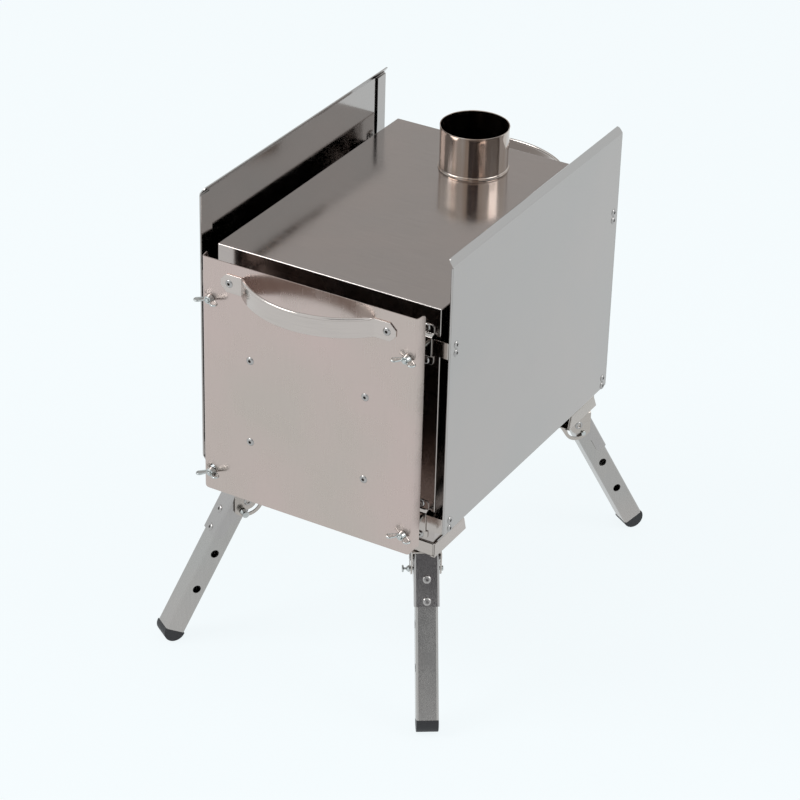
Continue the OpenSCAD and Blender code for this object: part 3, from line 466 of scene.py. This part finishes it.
def finish_piece(piece, *nodes, ease=0.25):
    """Gives a piece its edges, material and body, and puts it in place of nodes."""
    ease_edges(piece, ease)
    slot = SLOT_OF[nodes[0]]
    piece.data.materials.clear()
    piece.data.materials.append(MATERIALS[slot])
    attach(piece, BODY_OF[nodes[0]])
    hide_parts(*nodes)
    DONE.update(nodes)
    return piece


def make(work, *nodes, ease=0.25, cutter=None, name=None):
    """A finished piece from a bmesh, less the solids of a cutter."""
    piece = mesh_object((name or nodes[0]) + "_shape", work)
    if cutter:
        cut(piece, cutter)
    return finish_piece(piece, *nodes, ease=ease)


def dress(node, ease=0.25):
    """A copy of a CAD node with its faces joined up and its edges eased."""
    mesh = frame["nodes"][node].data.copy()
    work = bmesh.new()
    work.from_mesh(mesh)
    bmesh.ops.remove_doubles(work, verts=work.verts, dist=0.00001)
    bmesh.ops.dissolve_limit(work, angle_limit=math.radians(0.5), verts=work.verts,
                             edges=work.edges)
    work.to_mesh(mesh)
    work.free()
    piece = bpy.data.objects.new(node + "_shape", mesh)
    bpy.context.scene.collection.objects.link(piece)
    return finish_piece(piece, node, ease=ease)


# Firebox

def make_firebox():
    """The welded box: rounded outer edges, 1.5 mm walls, the mouth and the flue hole."""
    work = bmesh.new()
    block(work, (-SIDE, -END, FLOOR), (SIDE, END, TOP))
    bmesh.ops.bevel(work, geom=list(work.edges), offset=1.5, segments=3, profile=0.5,
                    affect="EDGES")
    cutter = bmesh.new()
    block(cutter, (WALL - SIDE, WALL - END, FLOOR + WALL), (SIDE - WALL, END - WALL, TOP - WALL))
    piece = mesh_object("firebox_shape", work)
    cut(piece, cutter)
    cutter = bmesh.new()
    block(cutter, (-MOUTH_X, END - 2 * WALL, MOUTH_LOW), (MOUTH_X, END + WALL, MOUTH_HIGH))
    disc(cutter, 0, FLUE_Y, FLUE_HOLE, TOP - 2 * WALL, TOP + WALL, steps=64)
    cut(piece, cutter)
    finish_piece(piece, "top_plate", "side_plate_left", "side_plate_right", "bottom_plate",
                 "rear_wall", "front_wall", "flue_ring", ease=0)


def make_collar():
    """A rolled collar: two beads round its foot, a plain wall and a turned rim."""
    work = bmesh.new()
    outer = [(39.7, -1.5), (39.7, 0), (40.9, 0.1), (41.2, 0.5), (41.1, 1.1), (40.3, 1.5),
             (40.1, 1.9), (40.5, 2.4), (40.5, 2.9), (40.0, 3.4), (39.75, 4.2),
             (39.8, 12), (39.9, 46), (40.05, 49.8), (40.3, 51.2), (40.4, 51.9), (40.2, 52.4)]
    inner = [(39.8, 52.5), (39.3, 52.2), (39.05, 51.4), (38.9, 46), (38.8, -1.5)]
    lathe(work, outer + inner, Matrix.Translation((0, FLUE_Y, TOP)), steps=96)
    seam = Matrix.Translation((0, FLUE_Y, TOP)) @ Matrix.Rotation(math.radians(SEAM_TURN), 4, "Z")
    prism(work, [(39.5, -1.1), (40.05, -0.8), (40.12, 0), (40.05, 0.8), (39.5, 1.1)], 4.4, 50, seam)
    make(work, "flue_collar", ease=0)


def end_wall(work, place, inner, outer, lean):
    """A member's end folded up double beside the firebox, with leaning cut ends."""
    low, high = MEMBER_Z + 0.6, MEMBER_Z + MEMBER_END_H - 0.6
    section = ribbon(rounded([(SIDE - 3, low), (SIDE + 2.4, low), (SIDE + 2.4, high),
                              (SIDE + 0.6, high), (SIDE + 0.6, low + 1.6)], 0.88, steps=4), 1.2)
    loft(work, [[place @ Vector((x, y + slope * max(z - low - WALL, 0), z)) for x, z in section]
                for y, slope in ((inner, 0.3), (outer, -lean))])


def make_members():
    """Channels that the firebox stands on, with a tall lip outside and folded ends."""
    for node, sy, lean in (("cross_member_rear", -1, 0), ("cross_member_front", 1, 0.52)):
        flip = Matrix.Diagonal((1, sy, 1, 1))
        outer, low, high = END + CLIP, MEMBER_Z + WALL / 2, FLOOR - WALL / 2
        inner, lip = outer - MEMBER_W, outer - WALL / 2
        work = bmesh.new()
        channel = rounded([(inner, low), (lip, low), (lip, high), (inner, high)], 1.5)
        prism(work, ribbon(channel, WALL), -SIDE + 0.4, SIDE - 0.4, flip @ YZ)
        for sx in (-1, 1):
            end_wall(work, Matrix.Diagonal((sx, 1, 1, 1)) @ flip, inner, outer, lean)
        make(work, node, ease=0.2)


# Fasteners

def rivet(work, place, grip):
    """A domed pop rivet on the place's XY plane, with its mandrel's stub deep inside."""
    lathe(work, [(0, -4), (1.55, -4), (1.55, 0.9), (1.75, 1.3), (2.2, 1.5), (2.9, 1.45),
                 (3.7, 1.15), (4.3, 0.7), (4.65, 0.25), (4.75, 0), (2.4, 0), (2.4, -grip),
                 (3.4, -grip), (3.3, -grip - 0.9), (2.4, -grip - 1.4), (0, -grip - 1.4)],
          place, steps=24)


def make_rivets():
    work = bmesh.new()
    for sx in (-1, 1):
        for z in STUD_Z:
            for s in (-1, 1):
                rivet(work, rearward(sx * STUD_X, -END - CLIP, z + s * CLIP_RIVET), WALL + CLIP)
                rivet(work, sideward(sx, SIDE + CLIP, SOCKET_Y, z + s * CLIP_RIVET), WALL + CLIP)
        rivet(work, frontward(sx * HANDLE_RIVET, END + 1.5, HANDLE_Z), WALL + 1.5)
    make(work, "shell_rivets", ease=0)
    work = bmesh.new()
    for sx in (-1, 1):
        for s in (-1, 1):
            rivet(work, rearward(sx * SPACER_X, -COVER_Y, SPACER_Z + s * SPACER_HALF), 14.2)
        rivet(work, rearward(sx * HANDLE_RIVET, -COVER_Y - 1.5, HANDLE_Z), 2.7)
    make(work, "cover_rivets", ease=0)
    for name, side in (("left", -1), ("right", 1)):
        work = bmesh.new()
        for z in STUD_Z:
            for s in (-1, 1):
                for y in (-END + 4, SOCKET_Y - 5):
                    height = z + SCREEN_LIFT + s * SCREEN_PITCH / 2
                    rivet(work, sideward(side, SCREEN_X + CLIP, y, height), 3 * CLIP)
        make(work, "screen_rivets_" + name, ease=0)


def make_pivots():
    """Tubular rivets with rolled heads through the ears."""
    work = bmesh.new()
    half = [(2.25, 0), (2.25, 17.6), (2.7, 18.1), (3.6, 18.2), (4.5, 17.9), (5, 17.35),
            (4.9, 17.05), (3.5, 17), (3.5, 0)]
    for sx, sy in CORNERS.values():
        across = leg_place(sx, sy) @ frame_at((0, 0, 0), (1, 0, 0), (0, 0, 1), (0, 1, 0))
        lathe(work, half[:-1] + [(r, -z) for r, z in half[:0:-1]], across, steps=24)
    make(work, "pivot_rivets", ease=0)


def thread(low, high, radius=2.5, pitch=0.8, depth=0.42):
    """The zigzag profile of a screw thread, as rings."""
    turns = int((high - low) / pitch)
    points = []
    for i in range(turns):
        z = low + i * pitch
        points += [(radius - depth, z), (radius, z + pitch * 0.35), (radius, z + pitch * 0.6)]
    return points


def make_studs():
    work = bmesh.new()
    for sx in (-1, 1):
        for z in STUD_Z:
            profile = [(0, 3.6), (4.2, 3.6), (4.2, 5.3), (2.5, 5.3), (2.5, 22)]
            profile += thread(22.2, STUD_END - 1)
            profile += [(2.2, STUD_END - 0.5), (1.8, STUD_END), (0, STUD_END)]
            lathe(work, profile, rearward(sx * STUD_X, -END, z), steps=20)
    make(work, "cover_studs", ease=0)


def make_wing_nut(node, sx, level, turn):
    """A cast wing nut: a tapered hub and two thin wings with thick rims."""
    place = (rearward(sx * STUD_X, -COVER_Y - 0.3, STUD_Z[level])
             @ Matrix.Rotation(math.radians(turn), 4, "Z"))
    work = bmesh.new()
    lathe(work, [(2.6, 0), (5.0, 0), (5.4, 0.4), (5.3, 1.5), (4.4, 5.6), (3.9, 6.3), (3.2, 6.5),
                 (2.6, 6.2)], place, steps=28)
    lean = math.degrees(math.atan2(9.6, 10.4))
    lobe = arc((10.4, 9.6), 3.5, lean - 90, lean + 90, 12)
    for s in (0, math.pi):
        wing = place @ Matrix.Rotation(s, 4, "Z") @ XZ
        prism(work, [(3.4, 1.0), *lobe, (3.2, 5.6)], -0.75, 0.75, wing)
        rim = [(3.6, 1.0), (6.5, 2.3), *lobe, (5.4, 8.8), (3.3, 5.4)]
        tube(work, [(x, y, 0) for x, y in rounded(rim, 1.4, 3, 25)], 1.12, 8, wing)
    make(work, node, ease=0.15)


def make_wing_nuts():
    make_wing_nut("wing_nut_upper_left", -1, 1, 0)
    make_wing_nut("wing_nut_upper_right", 1, 1, 0)
    make_wing_nut("wing_nut_lower_left", -1, 0, 6)
    make_wing_nut("wing_nut_lower_right", 1, 0, 0)


# Sheet pieces

def hat(width):
    """The bent strip of a hat clip and its half width."""
    path = rounded([(-24, 0.6), (-13.9, 0.6), (-11.1, 5.9), (11.1, 5.9), (13.9, 0.6), (24, 0.6)],
                   1.3, steps=4)
    return ribbon(path, CLIP), width / 2


def round_feet(work, half, place):
    """What the rounded corners of a hat clip's feet lose."""
    for sx in (-1, 1):
        for sy in (-1, 1):
            waste_corner(work, (sx * (half - 4), sy * 20), 4, sx, sy, -1, 3, place)


def make_clips():
    work, cutter = bmesh.new(), bmesh.new()
    for sx in (-1, 1):
        for z in STUD_Z:
            outline, half = hat(19)
            place = rearward(sx * STUD_X, -END, z)
            prism(work, outline, -half, half, place @ YZ)
            round_feet(cutter, half, place)
    make(work, "cover_keepers", ease=0.3, cutter=cutter)
    work, cutter = bmesh.new(), bmesh.new()
    for side in (-1, 1):
        for z in STUD_Z:
            outline, half = hat(14)
            place = sideward(side, SIDE, SOCKET_Y, z)
            prism(work, outline, -half, half, place @ YZ)
            block(cutter, (-0.9, -9.8, 4), (0.9, 9.8, 8), place)
            round_feet(cutter, half, place)
    make(work, "screen_sockets", ease=0.3, cutter=cutter)


def make_straps():
    """Bent straps at the rear and tongues at the door end, on the screens' hems."""
    face = SCREEN_X - CLIP - CLIP / 2
    half = STRAP_W / 2
    for name, side in (("left", -1), ("right", 1)):
        flip = Matrix.Diagonal((side, 1, 1, 1))
        work, cutter = bmesh.new(), bmesh.new()
        for z in STUD_Z:
            arm_y = -END - 4.4
            rear = rounded([(STUD_X - 10, arm_y), (face, arm_y), (face, arm_y + 14.6)], 2.4)
            front = rounded([(SIDE + 3, SOCKET_Y), (face, SOCKET_Y), (face, SOCKET_Y - 14)], 2.4)
            for path in (rear, front):
                prism(work, ribbon(path, CLIP), z - half, z + half, flip)
            for y in (arm_y - 2, SOCKET_Y - 16):
                block(cutter, (face - 1.6, y, z - half - 1),
                      (face + 2, y + 19, z - half + 3.3), flip)
        make(work, "screen_straps_" + name, ease=0.3, cutter=cutter)


def waste_corner(work, centre, radius, sx, sy, low, high, place):
    """What a rounded corner loses: a square less a quarter disc."""
    x, y = centre
    far = 3 * radius
    quarter = [(x + sx * radius * math.cos(a), y + sy * radius * math.sin(a))
               for a in (math.radians(90 * i / 8) for i in range(9))]
    prism(work, quarter + [(x, y + sy * far), (x + sx * far, y + sy * far), (x + sx * far, y)],
          low, high, place)


def make_cover():
    """The rear heat screen: bent edges that lean outward, rounded corners and holes."""
    low, high = COVER_Z, COVER_Z + COVER_H
    t, bend_r, leaning = CLIP, 2.4, 10
    mid = COVER_Y - t / 2
    reach = bend_r * math.tan(math.radians((90 - leaning) / 2))
    bend = (COVER_HALF - 3 + reach, -mid)
    lean = Vector((math.sin(math.radians(leaning)), math.cos(math.radians(leaning))))
    tip = Vector(bend) + lean * (reach + 11.5)
    path = [(-tip.x, tip.y), (-bend[0], bend[1]), bend, (tip.x, tip.y)]
    work = bmesh.new()
    prism(work, ribbon(rounded(path, bend_r, 8), t), low, high)
    cutter = bmesh.new()
    for s in (-1, 1):
        waste_corner(cutter, (s * (COVER_HALF - 6), low + 6), 6, s, -1,
                     -COVER_Y - 5, -COVER_Y + 25, XZ)
        edge = Matrix.Diagonal((s, 1, 1, 1)) @ YZ
        for z, up in ((low + 4.5, -1), (high - 4.5, 1)):
            waste_corner(cutter, (tip.y - 4.4, z), 4.5, 1, up, COVER_HALF - 3, COVER_HALF + 9, edge)
    piece = mesh_object("cover_plate_shape", work)
    cut(piece, cutter)
    holes = bmesh.new()
    through = rearward(0, -COVER_Y, 0)
    for sx in (-1, 1):
        for i, z in enumerate(STUD_Z):
            if sx < 0 and i == 0:
                slot = (arc((-STUD_X, z), STUD_HOLE, 180, 360, 16)
                        + arc((-STUD_X, z + 4.5), STUD_HOLE, 0, 180, 16))
                prism(holes, slot, -4, 4, through)
            else:
                disc(holes, sx * STUD_X, z, STUD_HOLE, -4, 4, through)
        disc(holes, sx * HANDLE_RIVET, HANDLE_Z, RIVET_R, -4, 4, through, 20)
        for s in (-1, 1):
            disc(holes, sx * SPACER_X, SPACER_Z + s * SPACER_HALF, RIVET_R, -4, 4,
                 through, 20)
    cut(piece, holes)
    finish_piece(piece, "cover_plate", ease=0.22)


def make_handle(node, place):
    """A bowed strip with flat eight-sided feet and a rolled bead along its top edge."""
    radius, centre = 113.1, -76.85
    reach = math.degrees(math.acos((0.75 - centre) / radius))
    bow = arc((0, centre), radius, 90 + reach, 90 - reach, 48)
    path = rounded([(-109, 0.75), *bow, (109, 0.75)], 1.6, 4, 20)
    work, cutter = bmesh.new(), bmesh.new()
    prism(work, ribbon(path, 1.5), -11, 11, place @ XZ)
    for sx in (-1, 1):
        for sy in (-1, 1):
            prism(cutter, [(sx * 100.5, sy * 12), (sx * 110, sy * 12), (sx * 110, sy * 2.5)],
                  -2, 4, place)
        disc(cutter, sx * HANDLE_RIVET, 0, RIVET_R, -2, 4, place, 20)
    piece = mesh_object(node + "_shape", work)
    cut(piece, cutter)
    bead = bmesh.new()
    start, end = 90 + reach - 1.2, 90 - reach + 1.2
    roll = [(x, 10.9, z) for x, z in arc((0, centre), radius, start, end, 64)]
    tube(bead, roll, 1.95, 14, place, taper=(0.45, 0.85))
    add_solids(piece, bead)
    finish_piece(piece, node, ease=0.3)


def make_screen(node, side):
    """A side heat screen: leaning lips above and below, and open hems on its ends."""
    x, t = SCREEN_X, CLIP
    low, high = SCREEN_Z, SCREEN_Z + SCREEN_H
    flip = Matrix.Diagonal((side, 1, 1, 1))
    middle = rounded([(x + t / 2 - 8.8, low - 12.2), (x + t / 2, low - 0.3),
                      (x + t / 2, high - 0.3), (x - 4.75, high + 7.3)], 2.2, 5)
    work = bmesh.new()
    prism(work, ribbon(middle, t), SCREEN_REAR + t, SCREEN_FRONT - t, flip @ XZ)
    piece = mesh_object(node + "_shape", work)
    cutter = bmesh.new()
    for y, s in ((SCREEN_REAR + t + 5, -1), (SCREEN_FRONT - t - 5, 1)):
        waste_corner(cutter, (y, high + 2.8), 5, s, 1, x - 12, x + 4, flip @ YZ)
        waste_corner(cutter, (y, low - 7.4), 5, s, -1, x - 14, x + 4, flip @ YZ)
        for z in STUD_Z:
            for k in (-1, 1):
                disc(cutter, -END + 4 if s < 0 else SOCKET_Y - 5,
                     z + SCREEN_LIFT + k * SCREEN_PITCH / 2, RIVET_R, x - 3, x + 3, flip @ YZ, 16)
    cut(piece, cutter)
    hems = bmesh.new()
    for end, s in ((SCREEN_REAR, 1), (SCREEN_FRONT, -1)):
        loops = []
        for i in range(41):
            z = low + 1.5 + (SCREEN_H - 3.9) * i / 40
            away = min(max(min(abs(z - stud) for stud in STUD_Z) - 12, 0) / 33, 1)
            gape = away * away * (3 - 2 * away)
            fold = [(x + t / 2, end + s * (t + 0.2))]
            fold += [(x + t / 2 * math.cos(a), end + s * (t - t / 2 * math.sin(a)))
                     for a in (math.radians(30 * k) for k in range(7))]
            fold += [(x - t / 2 - 0.3 * gape, end + s * 8), (x - t / 2 - 1.0 * gape, end + s * 20)]
            loops.append([flip @ Vector((p[0], p[1], z)) for p in ribbon(fold, t)])
        loft(hems, loops)
    add_solids(piece, hems)
    finish_piece(piece, node, ease=0.3)


# Legs

def make_brackets():
    """Bent channels with two rounded ears, a curved slot and a base under the member."""
    work, whole, cutter = bmesh.new(), bmesh.new(), bmesh.new()
    lean = 211.57
    ear = [(16, 15.5), (-33, 15.5), *arc((0, 0), 20, lean, 323.13, 24)]
    slot = (arc((0, 0), 16, -61.65, -179.65, 24) + arc((-13.5, -0.08), 2.5, 180, 0, 8)[1:-1]
            + arc((0, 0), 11, -179.65, -61.65, 24)
            + arc((6.41, -11.88), 2.5, 118.35, 298.35, 8)[1:-1])
    for sx, sy in CORNERS.values():
        place = corner_place(sx, sy)
        channel = rounded([(-16.25, -24), (-16.25, 14.75), (16.25, 14.75), (16.25, -24)], 1.9)
        prism(work, ribbon(channel, 1.5), -33, 16, place @ YZ)
        prism(whole, ear, -20, 20, place @ XZ)
        prism(cutter, slot, -20, 20, place @ XZ)
    piece = mesh_object("leg_brackets_shape", work)
    cut(piece, whole, "INTERSECT")
    cut(piece, cutter)
    finish_piece(piece, "leg_brackets", ease=0.3)


def make_leg(corner):
    sx, sy = CORNERS[corner]
    place = leg_place(sx, sy)
    dress("leg_tube_" + corner, 0.3)
    # sleeve
    work = bmesh.new()
    section = rounded([(-8, 13.3), (17.8, 13.3), (17.8, -13.3), (-8, -13.3)], 1.9)
    prism(work, ribbon(section, 1.6), -54.5, 4, place)
    waste = [(-12, -16), (-8, -16), (-6, -19), (3.1, -31), (5.1, -34)]
    waste += arc((9.1, -50.5), 4, 180, 270, 6) + [(9.1, -58), (-12, -58)]
    cutter = bmesh.new()
    prism(cutter, waste, -20, 20, place @ XZ)
    piece = mesh_object("leg_sleeve_" + corner + "_shape", work)
    cut(piece, cutter)
    heads = bmesh.new()
    for z in (24.4, 48.8):
        rivet(heads, place @ frame_at((18.6, 0, -z), (0, 1, 0), (0, 0, 1), (1, 0, 0)), 3.1)
    add_solids(piece, heads)
    finish_piece(piece, "leg_sleeve_" + corner, ease=0.3)
    # foot
    work = bmesh.new()
    sole = arc((4.5, -LEG_LEN), SOLE_R, 180, 360, 28)
    sole += [(17.5, 0.6 - LEG_LEN), (16.9, 1.2 - LEG_LEN), (-7.9, 1.2 - LEG_LEN),
             (-8.5, 0.6 - LEG_LEN)]
    prism(work, sole, -12.3, 12.3, place @ XZ)
    piece = mesh_object("foot_" + corner + "_shape", work)
    plug = bmesh.new()
    block(plug, (-6.3, -10.8, 1 - LEG_LEN), (15.3, 10.8, 15 - LEG_LEN), place)
    add_solids(piece, plug)
    finish_piece(piece, "foot_" + corner, ease=1.1)
    # lock pin and knob
    axis = place @ frame_at((0, 0, -LOCK_REACH), (1, 0, 0), (0, 0, 1), (0, 1, 0))
    work = bmesh.new()
    lathe(work, [(0, -19.5), (2.6, -19.5), (2.9, -19.2), (2.9, -17.7), (2.2, -17.5), (2.2, 18),
                 (3.6, 18), (4, 18.4), (3.8, 19.2), (2.3, 21.2), (1.9, 21.5), (1.32, 21.5),
                 (1.32, 17.6), (0, 17.6)], axis, steps=24)
    make(work, "lock_pin_" + corner, ease=0)
    work = bmesh.new()
    lathe(work, [(0, 17.7), (1.25, 17.7), (1.25, 23.9), (1.7, 24.4), (3.5, 24.5), (4, 24.9),
                 (4, 26.1), (3.6, 26.45), (0, 26.5)], axis, steps=24)
    make(work, "lock_knob_" + corner, ease=0)


# Door end

def make_latch():
    """A turned tongue on a cranked rod, with a coiled wire grip that stays cool."""
    work = bmesh.new()
    y = END + 1
    shaft = frontward(LATCH_X, y, LATCH_Z)
    lathe(work, [(0, -1.3), (3, -1.3), (3, 22.4), (2.6, 23), (0, 23)], shaft, steps=24)
    lathe(work, [(3, -2.3), (6, -2.3), (6, -0.3), (3, -0.3)], shaft, steps=28)
    tongue = [(-6, -6), (6, -6), *arc((0, 38), 6, 0, 180, 12)]
    prism(work, tongue, 2.3, 4.3, shaft)
    rod = Matrix.Translation((LATCH_X, y + 20, LATCH_Z))
    lathe(work, [(0, -78), (2.5, -78), (3, -77.5), (3, 2.6), (2.6, 3), (0, 3)], rod, steps=20)
    turns, pitch = 25, 2.75
    coil = [(5.15 * math.cos(math.tau * i / 16), 5.15 * math.sin(math.tau * i / 16),
             -77 + pitch * i / 16) for i in range(turns * 16 + 1)]
    tube(work, coil, 1.3, 8, rod, taper=(0.5,))
    lathe(work, [(3, -78), (6.2, -78), (6.5, -77.6), (6.2, -76.4), (3, -76.4)], rod, steps=24)
    lathe(work, [(3, -8), (6.2, -8), (6.5, -7.4), (6.2, -6.4), (3, -6.4)], rod, steps=24)
    make(work, "door_latch", ease=0.2)


# Stage

def make_camera():
    """The photograph's view: place, direction and lens."""
    azimuth, elevation, roll = (math.radians(a) for a in CAMERA_ANGLES)
    forward = Vector((-math.sin(azimuth) * math.cos(elevation),
                      math.cos(azimuth) * math.cos(elevation), -math.sin(elevation)))
    right = forward.cross(UP).normalized()
    above = right.cross(forward)
    x = right * math.cos(roll) + above * math.sin(roll)
    y = above * math.cos(roll) - right * math.sin(roll)
    data = bpy.data.cameras.new("camera")
    data.sensor_width = 36
    data.lens = LENS
    data.clip_end = 50
    camera = bpy.data.objects.new("camera", data)
    camera.matrix_world = (Matrix.Translation(CAMERA_PLACE)
                           @ Matrix((x, y, -forward)).transposed().to_4x4())
    bpy.context.scene.collection.objects.link(camera)
    bpy.context.scene.camera = camera


def seen_directly(tree):
    """1 for what the camera, a reflection or a refraction sees, else 0."""
    path = add(tree, "LightPath")
    first = add(tree, "Math", operation="MAXIMUM")
    second = add(tree, "Math", operation="MAXIMUM")
    link(tree, path.outputs["Is Camera Ray"], first.inputs[0])
    link(tree, path.outputs["Is Glossy Ray"], first.inputs[1])
    link(tree, first.outputs[0], second.inputs[0])
    link(tree, path.outputs["Is Transmission Ray"], second.inputs[1])
    return second.outputs[0]


def make_world():
    world = bpy.data.worlds.new("studio")
    bpy.context.scene.world = world
    world.use_nodes = True
    tree = world.node_tree
    background = tree.nodes["Background"]
    background.inputs["Strength"].default_value = SKY_LEVEL
    background.inputs["Color"].default_value = (1, 1, 1, 1)
    pale = add(tree, "Background", Color=PALE)
    mix = add(tree, "MixShader")
    link(tree, seen_directly(tree), mix.inputs["Fac"])
    link(tree, background.outputs[0], mix.inputs[1])
    link(tree, pale.outputs[0], mix.inputs[2])
    link(tree, mix.outputs[0], tree.nodes["World Output"].inputs["Surface"])


def plane(name, width, depth, place, faces, material):
    """A flat card of the set, at a place and facing a point."""
    mesh = bpy.data.meshes.new(name)
    w, d = width / 2, depth / 2
    mesh.from_pydata([(-w, -d, 0), (w, -d, 0), (w, d, 0), (-w, d, 0)], [], [(0, 1, 2, 3)])
    mesh.materials.append(material)
    card = bpy.data.objects.new(name, mesh)
    card.location = place
    direction = Vector(faces) - Vector(place)
    card.rotation_euler = direction.to_track_quat("Z", "Y").to_euler()
    bpy.context.scene.collection.objects.link(card)
    return card


def make_floor():
    material, tree, shader = node_tree("floor_paper")
    shader.inputs["Base Color"].default_value = PALE
    shader.inputs["Roughness"].default_value = 0.9
    glow = add(tree, "Emission", Color=PALE)
    share = add(tree, "Math", operation="MULTIPLY")
    share.inputs[1].default_value = PAPER_GLOW
    mix = add(tree, "MixShader")
    link(tree, seen_directly(tree), share.inputs[0])
    link(tree, share.outputs[0], mix.inputs["Fac"])
    link(tree, shader.outputs[0], mix.inputs[1])
    link(tree, glow.outputs[0], mix.inputs[2])
    link(tree, mix.outputs[0], tree.nodes["Material Output"].inputs["Surface"])
    plane("floor", 14, 14, (0, 0, -0.0005), (0, 0, 1), material)


def make_card(name, size, place, colour):
    """A card that only reflections see, to shade the metal."""
    material, tree = node_tree(name + "_paint")[:2]
    glow = add(tree, "Emission", Color=(*colour, 1))
    link(tree, glow.outputs[0], tree.nodes["Material Output"].inputs["Surface"])
    card = plane(name, *size, place, AIM, material)
    card.visible_camera = False
    card.visible_diffuse = False
    card.visible_shadow = False


def make_lamp(name, size, place, energy, colour=(1, 1, 1)):
    data = bpy.data.lights.new(name, "AREA")
    data.shape = "RECTANGLE"
    data.size, data.size_y = size
    data.energy = energy
    data.color = colour
    lamp = bpy.data.objects.new(name, data)
    lamp.location = place
    direction = Vector(AIM) - Vector(place)
    lamp.rotation_euler = direction.to_track_quat("-Z", "Y").to_euler()
    bpy.context.scene.collection.objects.link(lamp)


def make_stage():
    make_world()
    make_floor()
    make_lamp("key", (1.6, 1.2), (-1.9, -1.6, 2.6), 45)
    make_lamp("fill", (1.6, 1.6), (2.4, 0.6, 2.2), 22)
    make_card("dark_front", (2.0, 1.7), (1.5, -2.6, 1.9), (0.13, 0.13, 0.14))
    make_card("grey_back", (5.0, 2.4), (-1.6, 3.0, 2.3), (0.57, 0.56, 0.55))
    bpy.context.scene.view_settings.view_transform = "Standard"


make_camera()
make_stage()
make_firebox()
make_collar()
make_members()
make_rivets()
make_pivots()
make_studs()
make_wing_nuts()
make_clips()
make_straps()
make_cover()
make_handle("cover_handle", rearward(0, -COVER_Y, HANDLE_Z))
make_handle("front_handle", frontward(0, END, HANDLE_Z))
make_screen("side_screen_left", -1)
make_screen("side_screen_right", 1)
make_brackets()
for corner in CORNERS:
    make_leg(corner)
make_latch()
for node in sorted(set(frame["nodes"]) - DONE):
    dress(node)
